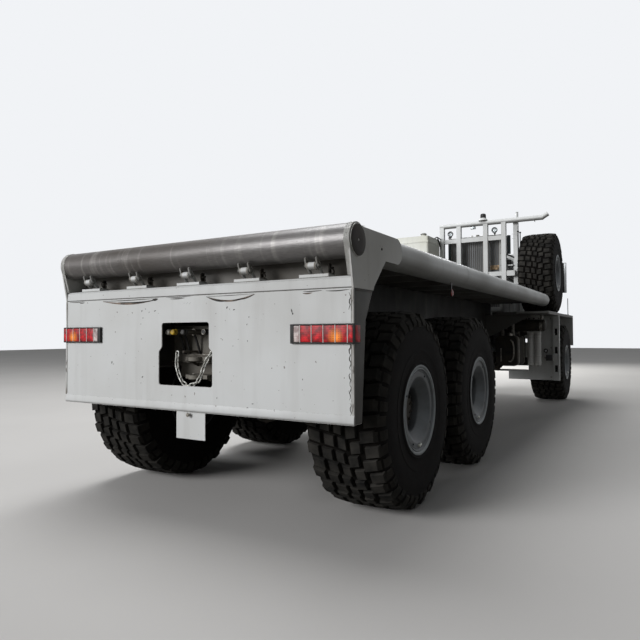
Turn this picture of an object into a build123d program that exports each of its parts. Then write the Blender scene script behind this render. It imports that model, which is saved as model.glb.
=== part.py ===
from build123d import *
from math import radians, sin, sqrt
import os

# Six-wheel-drive oilfield tractor truck with a flat deck and a tail roller.
# Millimetres. +X is the truck's right, +Y is forward and +Z is up from the road.
# Stations along Y are counted forward from the rear face of the tail plate.
# Every piece is drawn at its station, and moved at the end so that the origin
# lies on the road below the middle of the whole truck.

# Clearances
SEAT_GAP = 0.3          # between pieces that rest on each other but stay apart
RUNNING_FIT = 0.05      # radial, between a shaft and its bore
MOVING_GAP = 8.0        # between a moving piece and what it passes
BOLT_GAP = 1.0          # radial, between a towing pin and its hole

# Tyres, single all round
TYRE_R = 920.0
TYRE_WIDTH = 750.0
TREAD_WIDTH = 682.0
SHOULDER_DROP = 22.0
BEAD_R = 402.0
SIDEWALL_BULGE_R = 640.0
LUG_COUNT = 44          # lugs round each shoulder
LUG_GAP = 30.0
LUG_INNER_X = 200.0
LUG_DEPTH = 26.0
LUG_FOOT_R = 778.0
LUG_STAGGER = 0.8       # of the pitch, from one shoulder's lugs to the other's
TRACK = 2768.0

# Rims, three-piece with a lock ring
RIM_WIDTH = 740.0
RIM_FLANGE_R = 417.0
RIM_FLANGE_THICK = 18.0
RIM_BARREL_R = 390.0
RIM_BARREL_THICK = 16.0
RIM_FACE_R = 386.0
RIM_LOCK_R = 362.0
RIM_LOCK_STEP = 18.0
RIM_RING_R = 304.0
RIM_DISH_R = 210.0
RIM_DISH_DEPTH = 102.0
RIM_DISH_THICK = 22.0
RIM_DISC_OFFSET = 110.0
RIM_DISC_THICK = 30.0
SPARE_HOLE_R = 150.0
HUB_R = 188.0
HUB_LENGTH = 70.0
HUB_CAP_R = 105.0
HUB_CAP_LENGTH = 20.0
HUB_INNER_R = 140.0
HUB_INNER_REACH = 250.0
SPINDLE_R = 70.0
SPINDLE_DEPTH = 60.0

# Axles
REAR_AXLE_Y = 1237.0
BOGIE_SPREAD = 2079.0
WHEELBASE = 8055.0
AXLE_TUBE_R = 105.0
AXLE_TUBE_HALF = 985.0
AXLE_BOWL_R = 240.0
AXLE_BOWL_DEPTH = 230.0
AXLE_NOSE_R = 95.0
AXLE_NOSE_REACH = 330.0

# Steering
KINGPIN_X = 960.0
KINGPIN_R = 30.0
KINGPIN_BOSS_R = 70.0
KINGPIN_BOSS_HEIGHT = 240.0
FORK_GAP = 10.0
FORK_EAR_R = 75.0
FORK_EAR_THICK = 50.0
FORK_WEB_X = 85.0
FORK_WEB_THICK = 50.0
FORK_WEB_WIDTH = 170.0
STEER_ARM_REACH = 330.0
STEER_ARM_WIDTH = 70.0
TIE_PIN_R = 20.0
TIE_EYE_R = 40.0
TIE_EYE_THICK = 46.0
TIE_ROD_R = 27.0
TIE_ROD_GAP = 6.0

# Frame
RAIL_X = 440.0
RAIL_FLANGE = 100.0
RAIL_THICK = 10.0
RAIL_Z = 1320.0
RAIL_HEIGHT = 400.0
RAIL_FRONT_REACH = 1300.0
SUBFRAME_HEIGHT = 570.0
SUBFRAME_FLANGE = 80.0
CROSS_TUBE_R = 60.0
CROSS_TUBE_Z = 1520.0
CROSS_TUBE_COUNT = 4        # from the middle axle to the transfer case
CROSS_TUBE_LEAD = 750.0
CROSS_TUBE_FRONT = 900.0

# Leaf springs
SPRING_HALF_LENGTH = 800.0
SPRING_HANGER_DROP = 120.0
SPRING_HANGER_WIDTH = 70.0
SPRING_SEAT_HALF = 130.0
SPRING_BEND_REACH = 350.0
SPRING_CAMBER = 60.0
SPRING_PACK = 130.0
BOGIE_SPRING_SEAT = 120.0
BOGIE_SPRING_PACK = 170.0
BOGIE_SADDLE_HALF = 150.0
BOGIE_SPRING_HALF = 250.0

# Tail
BODY_WIDTH = 3386.0
TAIL_PLATE_THICK = 12.0
TAIL_PLATE_Z = 934.0
TAIL_SEAM_Z = 1975.0
OPENING_X = -20.0
OPENING_UPPER_WIDTH = 572.0
OPENING_LOWER_WIDTH = 648.0
OPENING_TOP_Z = 1736.0
OPENING_STEP_Z = 1510.0
OPENING_BOTTOM_Z = 1163.0
OPENING_CORNER_R = 25.0
LICENCE_X = 42.0
LICENCE_WIDTH = 343.0
LICENCE_Z = 689.0
LICENCE_OVERLAP = 60.0
LICENCE_THICK = 5.0
SIDE_PLATE_THICK = 16.0
CHEEK_FOOT_Y = 145.0
CHEEK_KNEE = (221.0, 1734.0)
CHEEK_BEND = (368.0, 2008.0)
CHEEK_REACH = 600.0
CHEEK_RECESS = 8.0
COVER_END_Y = 848.0
COVER_MARGIN = 23.0
ROLLER_Y = 68.0
ROLLER_Z = 2346.5
ROLLER_R = 136.0
ROLLER_RIM = 2.0
ROLLER_SHAFT_R = 45.0
ROLLER_SHAFT_REACH = 14.0
ROLLER_CAP_R = 122.0
ROLLER_CAP_THICK = 12.0
BEAM_SHELF_Z = 2070.0
BEAM_SHELF_DEPTH = 230.0
BEAM_DEPTH = 330.0
BRACKET_PITCH = 665.0
BRACKET_HALF = 58.0
BRACKET_BASE_HALF = 135.0
BRACKET_BASE_THICK = 28.0
BRACKET_PIN_R = 12.0
BRACKET_PIN_Y = 4.0
BRACKET_PIN_Z = 2162.0
BRACKET_LEAN = 65.0
BRACKET_SHEAVE_R = 31.0
BRACKET_EAR_THICK = 14.0
BRACKET_EAR_WIDTH = 30.0
BRACKET_EAR_RISE = 36.0

# Deck
DECK_TO_FRONT_AXLE = 2021.0
DECK_Z = 2450.0
DECK_PLATE_THICK = 10.0
DECK_OVERHANG = 110.0
DECK_TUBE_R = 136.5
DECK_TUBE_Z = 2350.0
DECK_BEAM_HEIGHT = 150.0
DECK_BEAM_WIDTH = 70.0
DECK_BEAM_COUNT = 12

# Tail lamps
TAIL_LAMP_INNER_X = 1133.0
TAIL_LAMP_Z = 1550.0
TAIL_LAMP_HEIGHT = 155.0
TAIL_LAMP_DEPTH = 25.0
TAIL_LAMP_WRAP = 95.0

# Coupling inside the tail opening
JAW_PIN_R = 25.0
JAW_PIN_Y = 130.0
JAW_WIDTH = 260.0
JAW_PLATE_THICK = 35.0
JAW_UPPER_Z = 1385.0
JAW_LOWER_Z = 1220.0
COUPLING_BAR_Z = 1360.0
COUPLING_BAR_HEIGHT = 80.0
COUPLING_BAR_DEPTH = 50.0
COUPLING_PLATE_Y = 290.0
COUPLING_PLATE_THICK = 16.0
AIR_COUPLER_R = 26.0
AIR_COUPLER_LENGTH = 200.0
AIR_COUPLER_Z = 1650.0
AIR_COUPLER_XS = (-290.0, -225.0, -99.0, 156.0)
CHAIN_WIRE = 9.0
CHAIN_LINK_INNER = 50.0
CHAIN_LINK_WIDTH = 36.0
CHAIN_LINK_CORNER = 12.0
CHAIN_PIN_R = 5.0
CHAIN_Y = 36.0
CHAIN_ROUTE = (
    (-141.0, 1470.0), (-150.0, 1346.0), (-117.0, 1252.0), (-71.0, 1186.0), (8.0, 1164.0),
    (100.0, 1200.0), (151.0, 1276.0), (201.0, 1385.0), (276.0, 1470.0), (328.0, 1532.0),
)

# Guard frame and hoist beam
GUARD_GAP = 50.0
GUARD_POST = 100.0
GUARD_OUTER_X = 715.0
GUARD_INNER_X = 310.0
GUARD_TOP_Z = 4170.0
GUARD_PIPE_R = 55.0
GUARD_BAR_HEIGHT = 100.0
GUARD_UPPER_BAR_Z = 3805.0
GUARD_LOWER_BAR_Z = 2985.0
HOIST_POST_X = 950.0
HOIST_POST_STEP = 150.0
HOIST_END_X = 1560.0
HOIST_RISE = 70.0
LAMP_X = 513.0
LAMP_Z = 3985.0
LAMP_R = 67.0
LAMP_DEPTH = 60.0
LAMP_RIM = 18.0
LAMP_SHADE = 14.0
LAMP_STEM_R = 14.0
BEACON_X = 256.0
BEACON_FOOT_R = 105.0
BEACON_FOOT_HEIGHT = 62.0
BEACON_R = 64.0
BEACON_HEIGHT = 105.0
PIPE_LAMP_X = 19.0
PIPE_LAMP_HALF = 55.0
PIPE_LAMP_HEIGHT = 60.0
PIPE_STUB_X = 1010.0
PIPE_STUB_R = 24.0
PIPE_STUB_HEIGHT = 110.0

# Radiator and engine
RADIATOR_FROM_GUARD = 200.0
RADIATOR_WIDTH = 1240.0
RADIATOR_DEPTH = 220.0
RADIATOR_Z = 2130.0
RADIATOR_TOP_Z = 3800.0
RADIATOR_FRAME = 60.0
RADIATOR_RECESS = 30.0
RADIATOR_FINS = 24
RADIATOR_FIN_THICK = 8.0
RADIATOR_FIN_DEPTH = 20.0
HEADER_HEIGHT = 120.0
HEADER_ROUND = 30.0
FILLER_CAP_R = 42.0
FILLER_CAP_HEIGHT = 45.0
HOOD_HALF = 620.0
HOOD_WALL = 30.0
HOOD_TOP_Z = 3480.0
HOOD_CORNER_R = 90.0
ENGINE_HALF = 420.0
ENGINE_TOP_Z = 3150.0
SUMP_HALF = 300.0
SUMP_Z = 1200.0
GEARBOX_LENGTH = 1100.0
GEARBOX_HALF = 240.0
GEARBOX_Z = 1290.0
GEARBOX_HEIGHT = 400.0
TRANSFER_TO_RADIATOR = 1350.0
TRANSFER_LENGTH = 360.0
TRANSFER_Z = 1000.0
SHAFT_R = 55.0
SHAFT_Z = 1110.0

# Tall tank at the deck's front left
TANK_MARGIN = 143.0
TANK_WIDTH = 790.0
TANK_LENGTH = 840.0
TANK_TOP_Z = 3850.0
TANK_GUARD_GAP = 10.0
TANK_FOOT = 37.0
TANK_FOOT_WIDTH = 80.0
TANK_FOOT_MARGIN = 100.0
TANK_CORNER_R = 40.0
TANK_FILLER_R = 60.0
TANK_FILLER_MARGIN = 150.0

# Winch
WINCH_FROM_DECK_FRONT = 1100.0
WINCH_HALF = 560.0
WINCH_PLATE = 25.0
WINCH_AXIS_HEIGHT = 205.0
WINCH_DRUM_R = 115.0
WINCH_FLANGE_R = 185.0
WINCH_FLANGE_THICK = 20.0
WINCH_SHAFT_R = 35.0
WINCH_FOOT_REACH = 60.0
WINCH_FOOT_WIDTH = 80.0
WINCH_FOOT_THICK = 20.0
WINCH_CHEEK_HALF = 90.0

# Platforms over the front wheels, and the panels of the wheel arch
PLATFORM_TOP_Z = 2085.0
PLATFORM_THICK = 55.0
PLATFORM_HALF = 1760.0
PLATFORM_REAR = 700.0
PLATFORM_REAR_R = 120.0
ARCH_REAR = 1250.0
ARCH_FRONT = 1180.0
ARCH_PANEL_THICK = 40.0
ARCH_PANEL_INNER_X = 1080.0
ARCH_POST_WIDTH = 130.0
ARCH_POST_DEPTH = 120.0
ARCH_POST_Z = 560.0
ARCH_SLOT_WIDTH = 60.0
ARCH_SLOT_HEIGHT = 150.0
ARCH_SLOT_PITCH = 415.0
ARCH_LOW_BAR_HEIGHT = 210.0
ARCH_LOW_BAR_INNER_X = 630.0
JUNCTION_BOX_WIDTH = 150.0
JUNCTION_BOX_DEPTH = 110.0
JUNCTION_BOX_HEIGHT = 150.0
JUNCTION_BOX_Z = 1000.0
HORN_R = 52.0
APRON_Z = 1310.0
APRON_INNER_X = 1000.0

# Spare wheel
SPARE_BEHIND_AXLE = 1191.0
SPARE_X = 1375.0
CARRIER_SHAFT_R = 60.0
CARRIER_PLATE_R = 190.0
CARRIER_PLATE_THICK = 20.0

# Tanks, filters and an air cylinder, hung from the platforms behind the wheel arches
SIDE_TANK_GAP = 120.0
FUEL_TANK_LENGTH = 1150.0
FUEL_TANK_HALF = 370.0
FUEL_TANK_HALF_HEIGHT = 330.0
FUEL_TANK_Z = 1560.0
FUEL_TANK_X = 1180.0
FUEL_TANK_CORNER = 120.0
OIL_TANK_X = 640.0
OIL_TANK_WIDTH = 460.0
OIL_TANK_LENGTH = 900.0
OIL_TANK_Z = 930.0
OIL_TANK_HEIGHT = 650.0
OIL_TANK_CORNER = 90.0
STRAP_WIDTH = 60.0
STRAP_HALF = 120.0
STRAP_MARGIN = 200.0
AIR_TANK_R = 130.0
AIR_TANK_LENGTH = 900.0
AIR_TANK_X = 700.0
AIR_TANK_Z = 1800.0
AIR_TANK_LEAD = 700.0
FILTER_R = 68.0
FILTER_XS = (1218.0, 1372.0)
FILTER_BEHIND_AXLE = 1731.0
FILTER_Z = 912.0
FILTER_TOP_Z = 1640.0
FILTER_RIBS = 5
FILTER_RIB_OUT = 6.0
FILTER_RIB_HEIGHT = 22.0
FILTER_HEAD_HEIGHT = 80.0

# Cab
CAB_HALF = 1250.0
CAB_REAR_STEP = 120.0
CAB_LENGTH = 1690.0
CAB_FLOOR_Z = 2120.0
CAB_ROOF_Z = 3650.0
CAB_FASCIA_Z = 1480.0
CAB_WALL = 50.0
CAB_WAIST_Z = 2830.0
CAB_SCREEN_LEAN = 160.0
CAB_CORNER_R = 110.0
WINDOW_CORNER_R = 60.0
GLASS_THICK = 6.0
DOOR_FROM_FRONT = 480.0
DOOR_FROM_REAR = 310.0
DOOR_Z = 2190.0
DOOR_TOP_GAP = 110.0
DOOR_FRAME = 80.0
HINGE_OUT = 22.0
HINGE_PIN_R = 9.0
HINGE_BARREL_R = 18.0
HINGE_BARREL_LENGTH = 90.0
HINGE_FOOT_LENGTH = 40.0
HINGE_SPACING = 420.0
HINGE_LOWEST = 130.0

# Seats, dashboard and steering wheel
SEAT_X = 620.0
SEAT_FROM_WALL = 150.0
SEAT_BASE_HALF = 200.0
SEAT_BASE_HEIGHT = 280.0
SEAT_HALF = 260.0
SEAT_LENGTH = 540.0
SEAT_PAD = 140.0
SEAT_CORNER_R = 50.0
SEAT_BACK_HALF = 240.0
SEAT_BACK_THICK = 130.0
SEAT_BACK_HEIGHT = 630.0
SEAT_BACK_LEAN = 90.0
DASH_DEPTH = 330.0
DASH_FOOT = 200.0
DASH_LOW = 250.0
DASH_TOP = 660.0
STEER_WHEEL_R = 235.0
STEER_GRIP_R = 17.0
STEER_HUB_R = 45.0
STEER_SPOKE_WIDTH = 32.0
STEER_COLUMN_R = 30.0
STEER_FROM_DASH = 480.0
STEER_HEIGHT = 690.0

# Front end
BUMPER_HALF = 1590.0
BUMPER_Z = 880.0
BUMPER_HEIGHT = 500.0
BUMPER_DEPTH = 250.0
BUMPER_GAP = 20.0
BUMPER_CORNER = 160.0
HEADLAMP_X = 1230.0
HEADLAMP_WIDTH = 360.0
HEADLAMP_HEIGHT = 190.0
HEADLAMP_POCKET = 70.0
TOW_EYE_X = 390.0
TOW_EYE_R = 26.0
TOW_EYE_THICK = 40.0
TOW_EYE_REACH = 95.0
TOW_EYE_HALF = 60.0
TOW_EYE_SPREAD = 70.0
GRILLE_HALF = 640.0
GRILLE_Z = 1830.0
GRILLE_HEIGHT = 620.0
GRILLE_BARS = 7
MIRROR_X = 1575.0
MIRROR_Z = 2700.0
MIRROR_HEIGHT = 790.0
MIRROR_WIDTH = 110.0
MIRROR_DEPTH = 60.0
MIRROR_ARM_R = 14.0

# Places that follow from the sizes above
HUB_Z = TYRE_R
MIDDLE_AXLE_Y = REAR_AXLE_Y + BOGIE_SPREAD
FRONT_AXLE_Y = MIDDLE_AXLE_Y + WHEELBASE
BODY_HALF = BODY_WIDTH / 2
TANK_X = TANK_MARGIN - BODY_HALF
SIDE_INNER_X = BODY_HALF - SIDE_PLATE_THICK
RAIL_TOP_Z = RAIL_Z + RAIL_HEIGHT
SUBFRAME_TOP_Z = RAIL_TOP_Z + SUBFRAME_HEIGHT
RAIL_END_Y = FRONT_AXLE_Y + RAIL_FRONT_REACH
DECK_FRONT_Y = FRONT_AXLE_Y - DECK_TO_FRONT_AXLE
DECK_TUBE_X = SIDE_INNER_X - DECK_TUBE_R - SEAT_GAP
GUARD_Y = DECK_FRONT_Y + GUARD_GAP
RADIATOR_Y = GUARD_Y + RADIATOR_FROM_GUARD
TRANSFER_Y = RADIATOR_Y - TRANSFER_TO_RADIATOR
WINCH_Y = DECK_FRONT_Y - WINCH_FROM_DECK_FRONT
FILTER_Y = FRONT_AXLE_Y - FILTER_BEHIND_AXLE
CAB_Y = FRONT_AXLE_Y - CAB_REAR_STEP
CAB_FRONT_Y = CAB_Y + CAB_LENGTH
DOOR_LENGTH = CAB_LENGTH - DOOR_FROM_FRONT - DOOR_FROM_REAR
PLATFORM_Y = DECK_FRONT_Y - PLATFORM_REAR
PLATFORM_END_Y = FRONT_AXLE_Y + ARCH_FRONT + ARCH_PANEL_THICK
ARCH_Y = FRONT_AXLE_Y - ARCH_REAR
SPARE_Y = FRONT_AXLE_Y - SPARE_BEHIND_AXLE
SPARE_Z = PLATFORM_TOP_Z + TYRE_R + SEAT_GAP
ENGINE_Y = RADIATOR_Y + RADIATOR_DEPTH + 120.0
BUMPER_Y = CAB_FRONT_Y + BUMPER_GAP
BUMPER_FRONT_Y = BUMPER_Y + BUMPER_DEPTH
TAIL_REACH = ROLLER_R + ROLLER_RIM - ROLLER_Y
MIDDLE_Y = (BUMPER_FRONT_Y - TAIL_REACH) / 2
SIDES = (("left", -1), ("right", 1))
AXLES = (("rear", REAR_AXLE_Y), ("middle", MIDDLE_AXLE_Y), ("front", FRONT_AXLE_Y))


def block(x0, x1, y0, y1, z0, z1):
    """Box between two corners, whichever way round each pair is given."""
    box = Box(abs(x1 - x0), abs(y1 - y0), abs(z1 - z0))
    return Pos((x0 + x1) / 2, (y0 + y1) / 2, (z0 + z1) / 2) * box


def along_x(points, x0, x1):
    """Plate whose outline is given as (y, z) points, from x0 to x1."""
    face = Face(Wire.make_polygon([Vector(x0, y, z) for y, z in points]))
    return extrude(face, abs(x1 - x0), dir=(1 if x1 > x0 else -1, 0, 0))


def along_y(points, y0, y1):
    """Bar whose outline is given as (x, z) points, from y0 to y1."""
    face = Face(Wire.make_polygon([Vector(x, y0, z) for x, z in points]))
    return extrude(face, y1 - y0, dir=(0, 1, 0))


def along_z(points, z0, z1):
    """Plate whose outline is given as (x, y) points, from z0 to z1."""
    face = Face(Wire.make_polygon([Vector(x, y, z0) for x, y in points]))
    return extrude(face, z1 - z0, dir=(0, 0, 1))


def rod(start, end, radius):
    """Round bar from one point to another."""
    start = Vector(*start)
    run = Vector(*end) - start
    plane = Plane(origin=start, z_dir=run)
    return plane * Cylinder(radius, run.length, align=(Align.CENTER, Align.CENTER, Align.MIN))


def turned_x(points, centre, side=1):
    """Body turned about a lateral axis from (along, radius) points, mirrored for the left."""
    face = Face(Wire.make_polygon([Vector(side * a, 0, -r) for a, r in points]))
    return Pos(*centre) * revolve(face, Axis.X)


def group(*shapes):
    """One node made of solids that don't touch each other."""
    return Compound([solid for shape in shapes for solid in shape.solids()])


def both_sides(shape):
    """The shape and its mirror image across the truck's centre plane."""
    return group(shape, mirror(shape, Plane.YZ))


def spaced(first, last, count):
    """Evenly spaced values from first to last."""
    return [first + (last - first) * index / (count - 1) for index in range(count)]


# Wheels

def tyre():
    """Tubeless tyre on the X axis: bulged sidewalls, a nearly flat tread and shoulders cut into lugs."""
    half = TYRE_WIDTH / 2
    tread = TREAD_WIDTH / 2
    shoulder = TYRE_R - SHOULDER_DROP
    bead = RIM_WIDTH / 2 - RIM_FLANGE_THICK - SEAT_GAP
    profile = [
        (bead - 60, BEAD_R - 10), (bead, BEAD_R), (bead, RIM_FLANGE_R + 8), (half - 8, RIM_FLANGE_R + 60),
        (half, SIDEWALL_BULGE_R), (half - 6, shoulder - 110), (tread, shoulder),
        (tread * 0.55, TYRE_R), (-tread * 0.55, TYRE_R), (-tread, shoulder), (6 - half, shoulder - 110),
        (-half, SIDEWALL_BULGE_R), (8 - half, RIM_FLANGE_R + 60), (-bead, RIM_FLANGE_R + 8),
        (-bead, BEAD_R), (60 - bead, BEAD_R - 10),
    ]
    body = turned_x(profile, (0, 0, 0))
    clear = TYRE_R + LUG_DEPTH
    groove = [
        (LUG_INNER_X, TYRE_R), (tread - LUG_DEPTH, shoulder - LUG_DEPTH), (half + 4, LUG_FOOT_R),
        (half + 4, clear), (LUG_INNER_X, clear),
    ]
    pitch = 360 / LUG_COUNT
    grooves = []
    for side, stagger in ((1, 0.5), (-1, 0.5 + LUG_STAGGER)):
        cutter = along_y([(side * x, r) for x, r in groove], -LUG_GAP / 2, LUG_GAP / 2)
        grooves += [Rot((index + stagger) * pitch, 0, 0) * cutter for index in range(LUG_COUNT)]
    return body - grooves


def rim(centre, side, spare=False):
    """Wide steel rim whose dished disc stands deep inside; a road wheel's disc carries its hub."""
    half = RIM_WIDTH / 2
    inner = RIM_BARREL_R - RIM_BARREL_THICK
    seat = half - RIM_FLANGE_THICK
    ring = half - RIM_LOCK_STEP
    dish = half - RIM_DISH_DEPTH
    back = ring - RIM_DISH_THICK
    disc_end = RIM_DISC_OFFSET + RIM_DISC_THICK
    shell = [
        (disc_end, RIM_DISH_R), (dish, RIM_DISH_R), (ring, RIM_RING_R), (ring, RIM_LOCK_R), (half, RIM_FACE_R),
        (half, RIM_FLANGE_R), (seat, RIM_FLANGE_R), (seat, RIM_BARREL_R), (-seat, RIM_BARREL_R),
        (-seat, RIM_FLANGE_R), (-half, RIM_FLANGE_R), (-half, inner), (back, inner), (back, RIM_RING_R),
        (dish - RIM_DISH_THICK, RIM_DISH_R + RIM_DISH_THICK), (RIM_DISC_OFFSET, RIM_DISH_R + RIM_DISH_THICK),
    ]
    if spare:
        return turned_x([(RIM_DISC_OFFSET, SPARE_HOLE_R), (disc_end, SPARE_HOLE_R)] + shell, centre, side)
    bore = SPINDLE_R + RUNNING_FIT
    hub_end = disc_end + HUB_LENGTH
    cap_end = hub_end + HUB_CAP_LENGTH
    hub = [
        (RIM_DISC_OFFSET, HUB_INNER_R), (-HUB_INNER_REACH, HUB_INNER_R), (-HUB_INNER_REACH, bore),
        (SPINDLE_DEPTH, bore), (SPINDLE_DEPTH, 0), (cap_end, 0), (cap_end, HUB_CAP_R), (hub_end, HUB_CAP_R),
        (hub_end, HUB_R), (disc_end, HUB_R),
    ]
    return turned_x(hub + shell, centre, side)


# Axles and steering

def axle_housing(y, nose_side, half, with_spindles):
    """Banjo housing with a pinion nose, tubes and, on a rear axle, its spindles."""
    bowl = rod((0, y - AXLE_BOWL_DEPTH / 2, HUB_Z), (0, y + AXLE_BOWL_DEPTH / 2, HUB_Z), AXLE_BOWL_R)
    bowl = chamfer(bowl.edges().filter_by(GeomType.CIRCLE), AXLE_BOWL_DEPTH / 3)
    nose_end = y + nose_side * AXLE_NOSE_REACH
    nose = rod((0, y, HUB_Z), (0, nose_end, HUB_Z), AXLE_NOSE_R)
    tube = rod((-half, y, HUB_Z), (half, y, HUB_Z), AXLE_TUBE_R)
    housing = bowl + nose + tube
    if with_spindles:
        reach = TRACK / 2 + SPINDLE_DEPTH - 4
        housing += rod((-reach, y, HUB_Z), (reach, y, HUB_Z), SPINDLE_R)
        return housing
    low = HUB_Z - KINGPIN_BOSS_HEIGHT / 2
    high = HUB_Z + KINGPIN_BOSS_HEIGHT / 2
    for _, side in SIDES:
        x = side * KINGPIN_X
        housing += rod((x, y, low), (x, y, high), KINGPIN_BOSS_R)
        housing -= rod((x, y, low - 1), (x, y, high + 1), KINGPIN_R + RUNNING_FIT)
    return housing


def knuckle(side):
    """Forked steering knuckle with its kingpin, spindle, steering arm and tie-rod pin."""
    x = side * KINGPIN_X
    y = FRONT_AXLE_Y
    boss_low = HUB_Z - KINGPIN_BOSS_HEIGHT / 2 - FORK_GAP
    boss_high = HUB_Z + KINGPIN_BOSS_HEIGHT / 2 + FORK_GAP
    low = boss_low - FORK_EAR_THICK
    high = boss_high + FORK_EAR_THICK
    web_in = side * (KINGPIN_X + FORK_WEB_X)
    web_out = side * (KINGPIN_X + FORK_WEB_X + FORK_WEB_THICK)
    half = FORK_WEB_WIDTH / 2
    piece = block(web_in, web_out, y - half, y + half, low, high)
    for z0, z1 in ((low, boss_low), (boss_high, high)):
        piece += rod((x, y, z0), (x, y, z1), FORK_EAR_R)
        piece += block(x, web_in, y - FORK_EAR_R, y + FORK_EAR_R, z0, z1)
    piece += rod((x, y, low), (x, y, high), KINGPIN_R)
    piece += rod((web_in, y, HUB_Z), (side * (TRACK / 2 + SPINDLE_DEPTH - 4), y, HUB_Z), SPINDLE_R)
    arm = STEER_ARM_WIDTH / 2
    pin_y = y - STEER_ARM_REACH
    piece += block(x - arm, x + arm, pin_y, y, low, boss_low)
    piece += rod((x, pin_y, low), (x, pin_y, boss_low), arm)
    piece += rod((x, pin_y, low - TIE_ROD_GAP - TIE_EYE_THICK - 4), (x, pin_y, low), TIE_PIN_R)
    return piece


def tie_rod():
    """Straight tie rod whose eyes turn on the pins of both steering arms."""
    y = FRONT_AXLE_Y - STEER_ARM_REACH
    top = HUB_Z - KINGPIN_BOSS_HEIGHT / 2 - FORK_GAP - FORK_EAR_THICK - TIE_ROD_GAP
    bottom = top - TIE_EYE_THICK
    middle = (top + bottom) / 2
    shaft = rod((-KINGPIN_X, y, middle), (KINGPIN_X, y, middle), TIE_ROD_R)
    piece = shaft & block(-KINGPIN_X, KINGPIN_X, y - TIE_EYE_R, y + TIE_EYE_R, bottom, top)
    for _, side in SIDES:
        x = side * KINGPIN_X
        piece += rod((x, y, bottom), (x, y, top), TIE_EYE_R)
    for _, side in SIDES:
        x = side * KINGPIN_X
        piece -= rod((x, y, bottom - 1), (x, y, top + 1), TIE_PIN_R + RUNNING_FIT)
    return piece


def leaf_springs():
    """A front spring on each side, and an inverted one over each pair of bogie axles."""
    x0 = RAIL_X - RAIL_FLANGE
    x1 = RAIL_X
    seat = HUB_Z + AXLE_TUBE_R + SEAT_GAP
    hanger = RAIL_Z - SPRING_HANGER_DROP
    low = seat + SPRING_CAMBER
    top = seat + SPRING_PACK
    inner = SPRING_HALF_LENGTH - SPRING_HANGER_WIDTH
    upper_bend = SPRING_BEND_REACH - 100
    half = [
        (SPRING_SEAT_HALF, seat), (SPRING_BEND_REACH, low), (SPRING_HALF_LENGTH, hanger),
        (SPRING_HALF_LENGTH, RAIL_Z), (inner, RAIL_Z), (inner, hanger + SPRING_CAMBER), (upper_bend, top),
    ]
    front = [(FRONT_AXLE_Y + y, z) for y, z in half] + [(FRONT_AXLE_Y - y, z) for y, z in reversed(half)]
    centre = (REAR_AXLE_Y + MIDDLE_AXLE_Y) / 2
    spread = BOGIE_SPREAD / 2
    half = [
        (BOGIE_SADDLE_HALF + 50, seat - SPRING_CAMBER), (spread - BOGIE_SPRING_SEAT, seat),
        (spread + BOGIE_SPRING_SEAT, seat), (spread + BOGIE_SPRING_SEAT, seat + 50),
        (BOGIE_SPRING_HALF, seat + BOGIE_SPRING_PACK), (BOGIE_SADDLE_HALF, RAIL_Z),
    ]
    rear = [(centre + y, z) for y, z in half] + [(centre - y, z) for y, z in reversed(half)]
    right = along_x(front, x0, x1)
    right_rear = along_x(rear, x0, x1)
    return both_sides(group(right, right_rear))


def propshafts():
    """Shafts from the transfer case to the middle and front axles, and between the bogie axles."""
    rear_flange = TRANSFER_Y - SEAT_GAP
    front_flange = TRANSFER_Y + TRANSFER_LENGTH + SEAT_GAP
    nose = AXLE_NOSE_REACH + SEAT_GAP
    runs = (
        ((0, MIDDLE_AXLE_Y + nose, HUB_Z), (0, rear_flange, SHAFT_Z)),
        ((0, REAR_AXLE_Y + nose, HUB_Z), (0, MIDDLE_AXLE_Y - AXLE_BOWL_DEPTH / 2 - SEAT_GAP, HUB_Z)),
        ((0, front_flange, SHAFT_Z), (0, FRONT_AXLE_Y - nose, HUB_Z)),
    )
    shafts = []
    for start, end in runs:
        shaft = rod(start, end, SHAFT_R)
        y0 = start[1]
        y1 = end[1]
        shafts.append(shaft & block(-200, 200, y0, y1, 0, RAIL_TOP_Z))
    return group(*shafts)


# Frame

def channel(x_out, flange, thick, z0, z1, y0, y1):
    """Channel rail with its web outboard and its flanges turned in."""
    inner = x_out - flange
    web = x_out - thick
    points = [
        (x_out, z0), (x_out, z1), (inner, z1), (inner, z1 - thick), (web, z1 - thick),
        (web, z0 + thick), (inner, z0 + thick), (inner, z0),
    ]
    return along_y(points, y0, y1)


def frame_rails():
    """Full-length main rails with the deck's tall subframe rails on top of them."""
    lower = channel(RAIL_X, RAIL_FLANGE, RAIL_THICK, RAIL_Z, RAIL_TOP_Z, TAIL_PLATE_THICK, RAIL_END_Y)
    upper = channel(RAIL_X, SUBFRAME_FLANGE, RAIL_THICK, RAIL_TOP_Z, SUBFRAME_TOP_Z, BEAM_DEPTH,
                    DECK_FRONT_Y - 100)
    return both_sides(lower + upper)


def cross_members():
    """Round cross tubes between the webs of the main rails."""
    ahead = spaced(MIDDLE_AXLE_Y, TRANSFER_Y - CROSS_TUBE_LEAD, CROSS_TUBE_COUNT)
    stations = (REAR_AXLE_Y, (REAR_AXLE_Y + MIDDLE_AXLE_Y) / 2, *ahead, FRONT_AXLE_Y + CROSS_TUBE_FRONT)
    reach = RAIL_X - RAIL_THICK
    tubes = [rod((-reach, y, CROSS_TUBE_Z), (reach, y, CROSS_TUBE_Z), CROSS_TUBE_R) for y in stations]
    return group(*tubes)


# Tail

def opening_outline():
    """Outline of the coupling opening: a narrower top, a chamfered step and a wider base."""
    upper = OPENING_UPPER_WIDTH / 2
    lower = OPENING_LOWER_WIDTH / 2
    step = OPENING_STEP_Z - (lower - upper)
    half = [(upper, OPENING_TOP_Z), (upper, OPENING_STEP_Z), (lower, step), (lower, OPENING_BOTTOM_Z)]
    right = [(OPENING_X + x, z) for x, z in half]
    left = [(OPENING_X - x, z) for x, z in reversed(half)]
    return right + left


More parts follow.
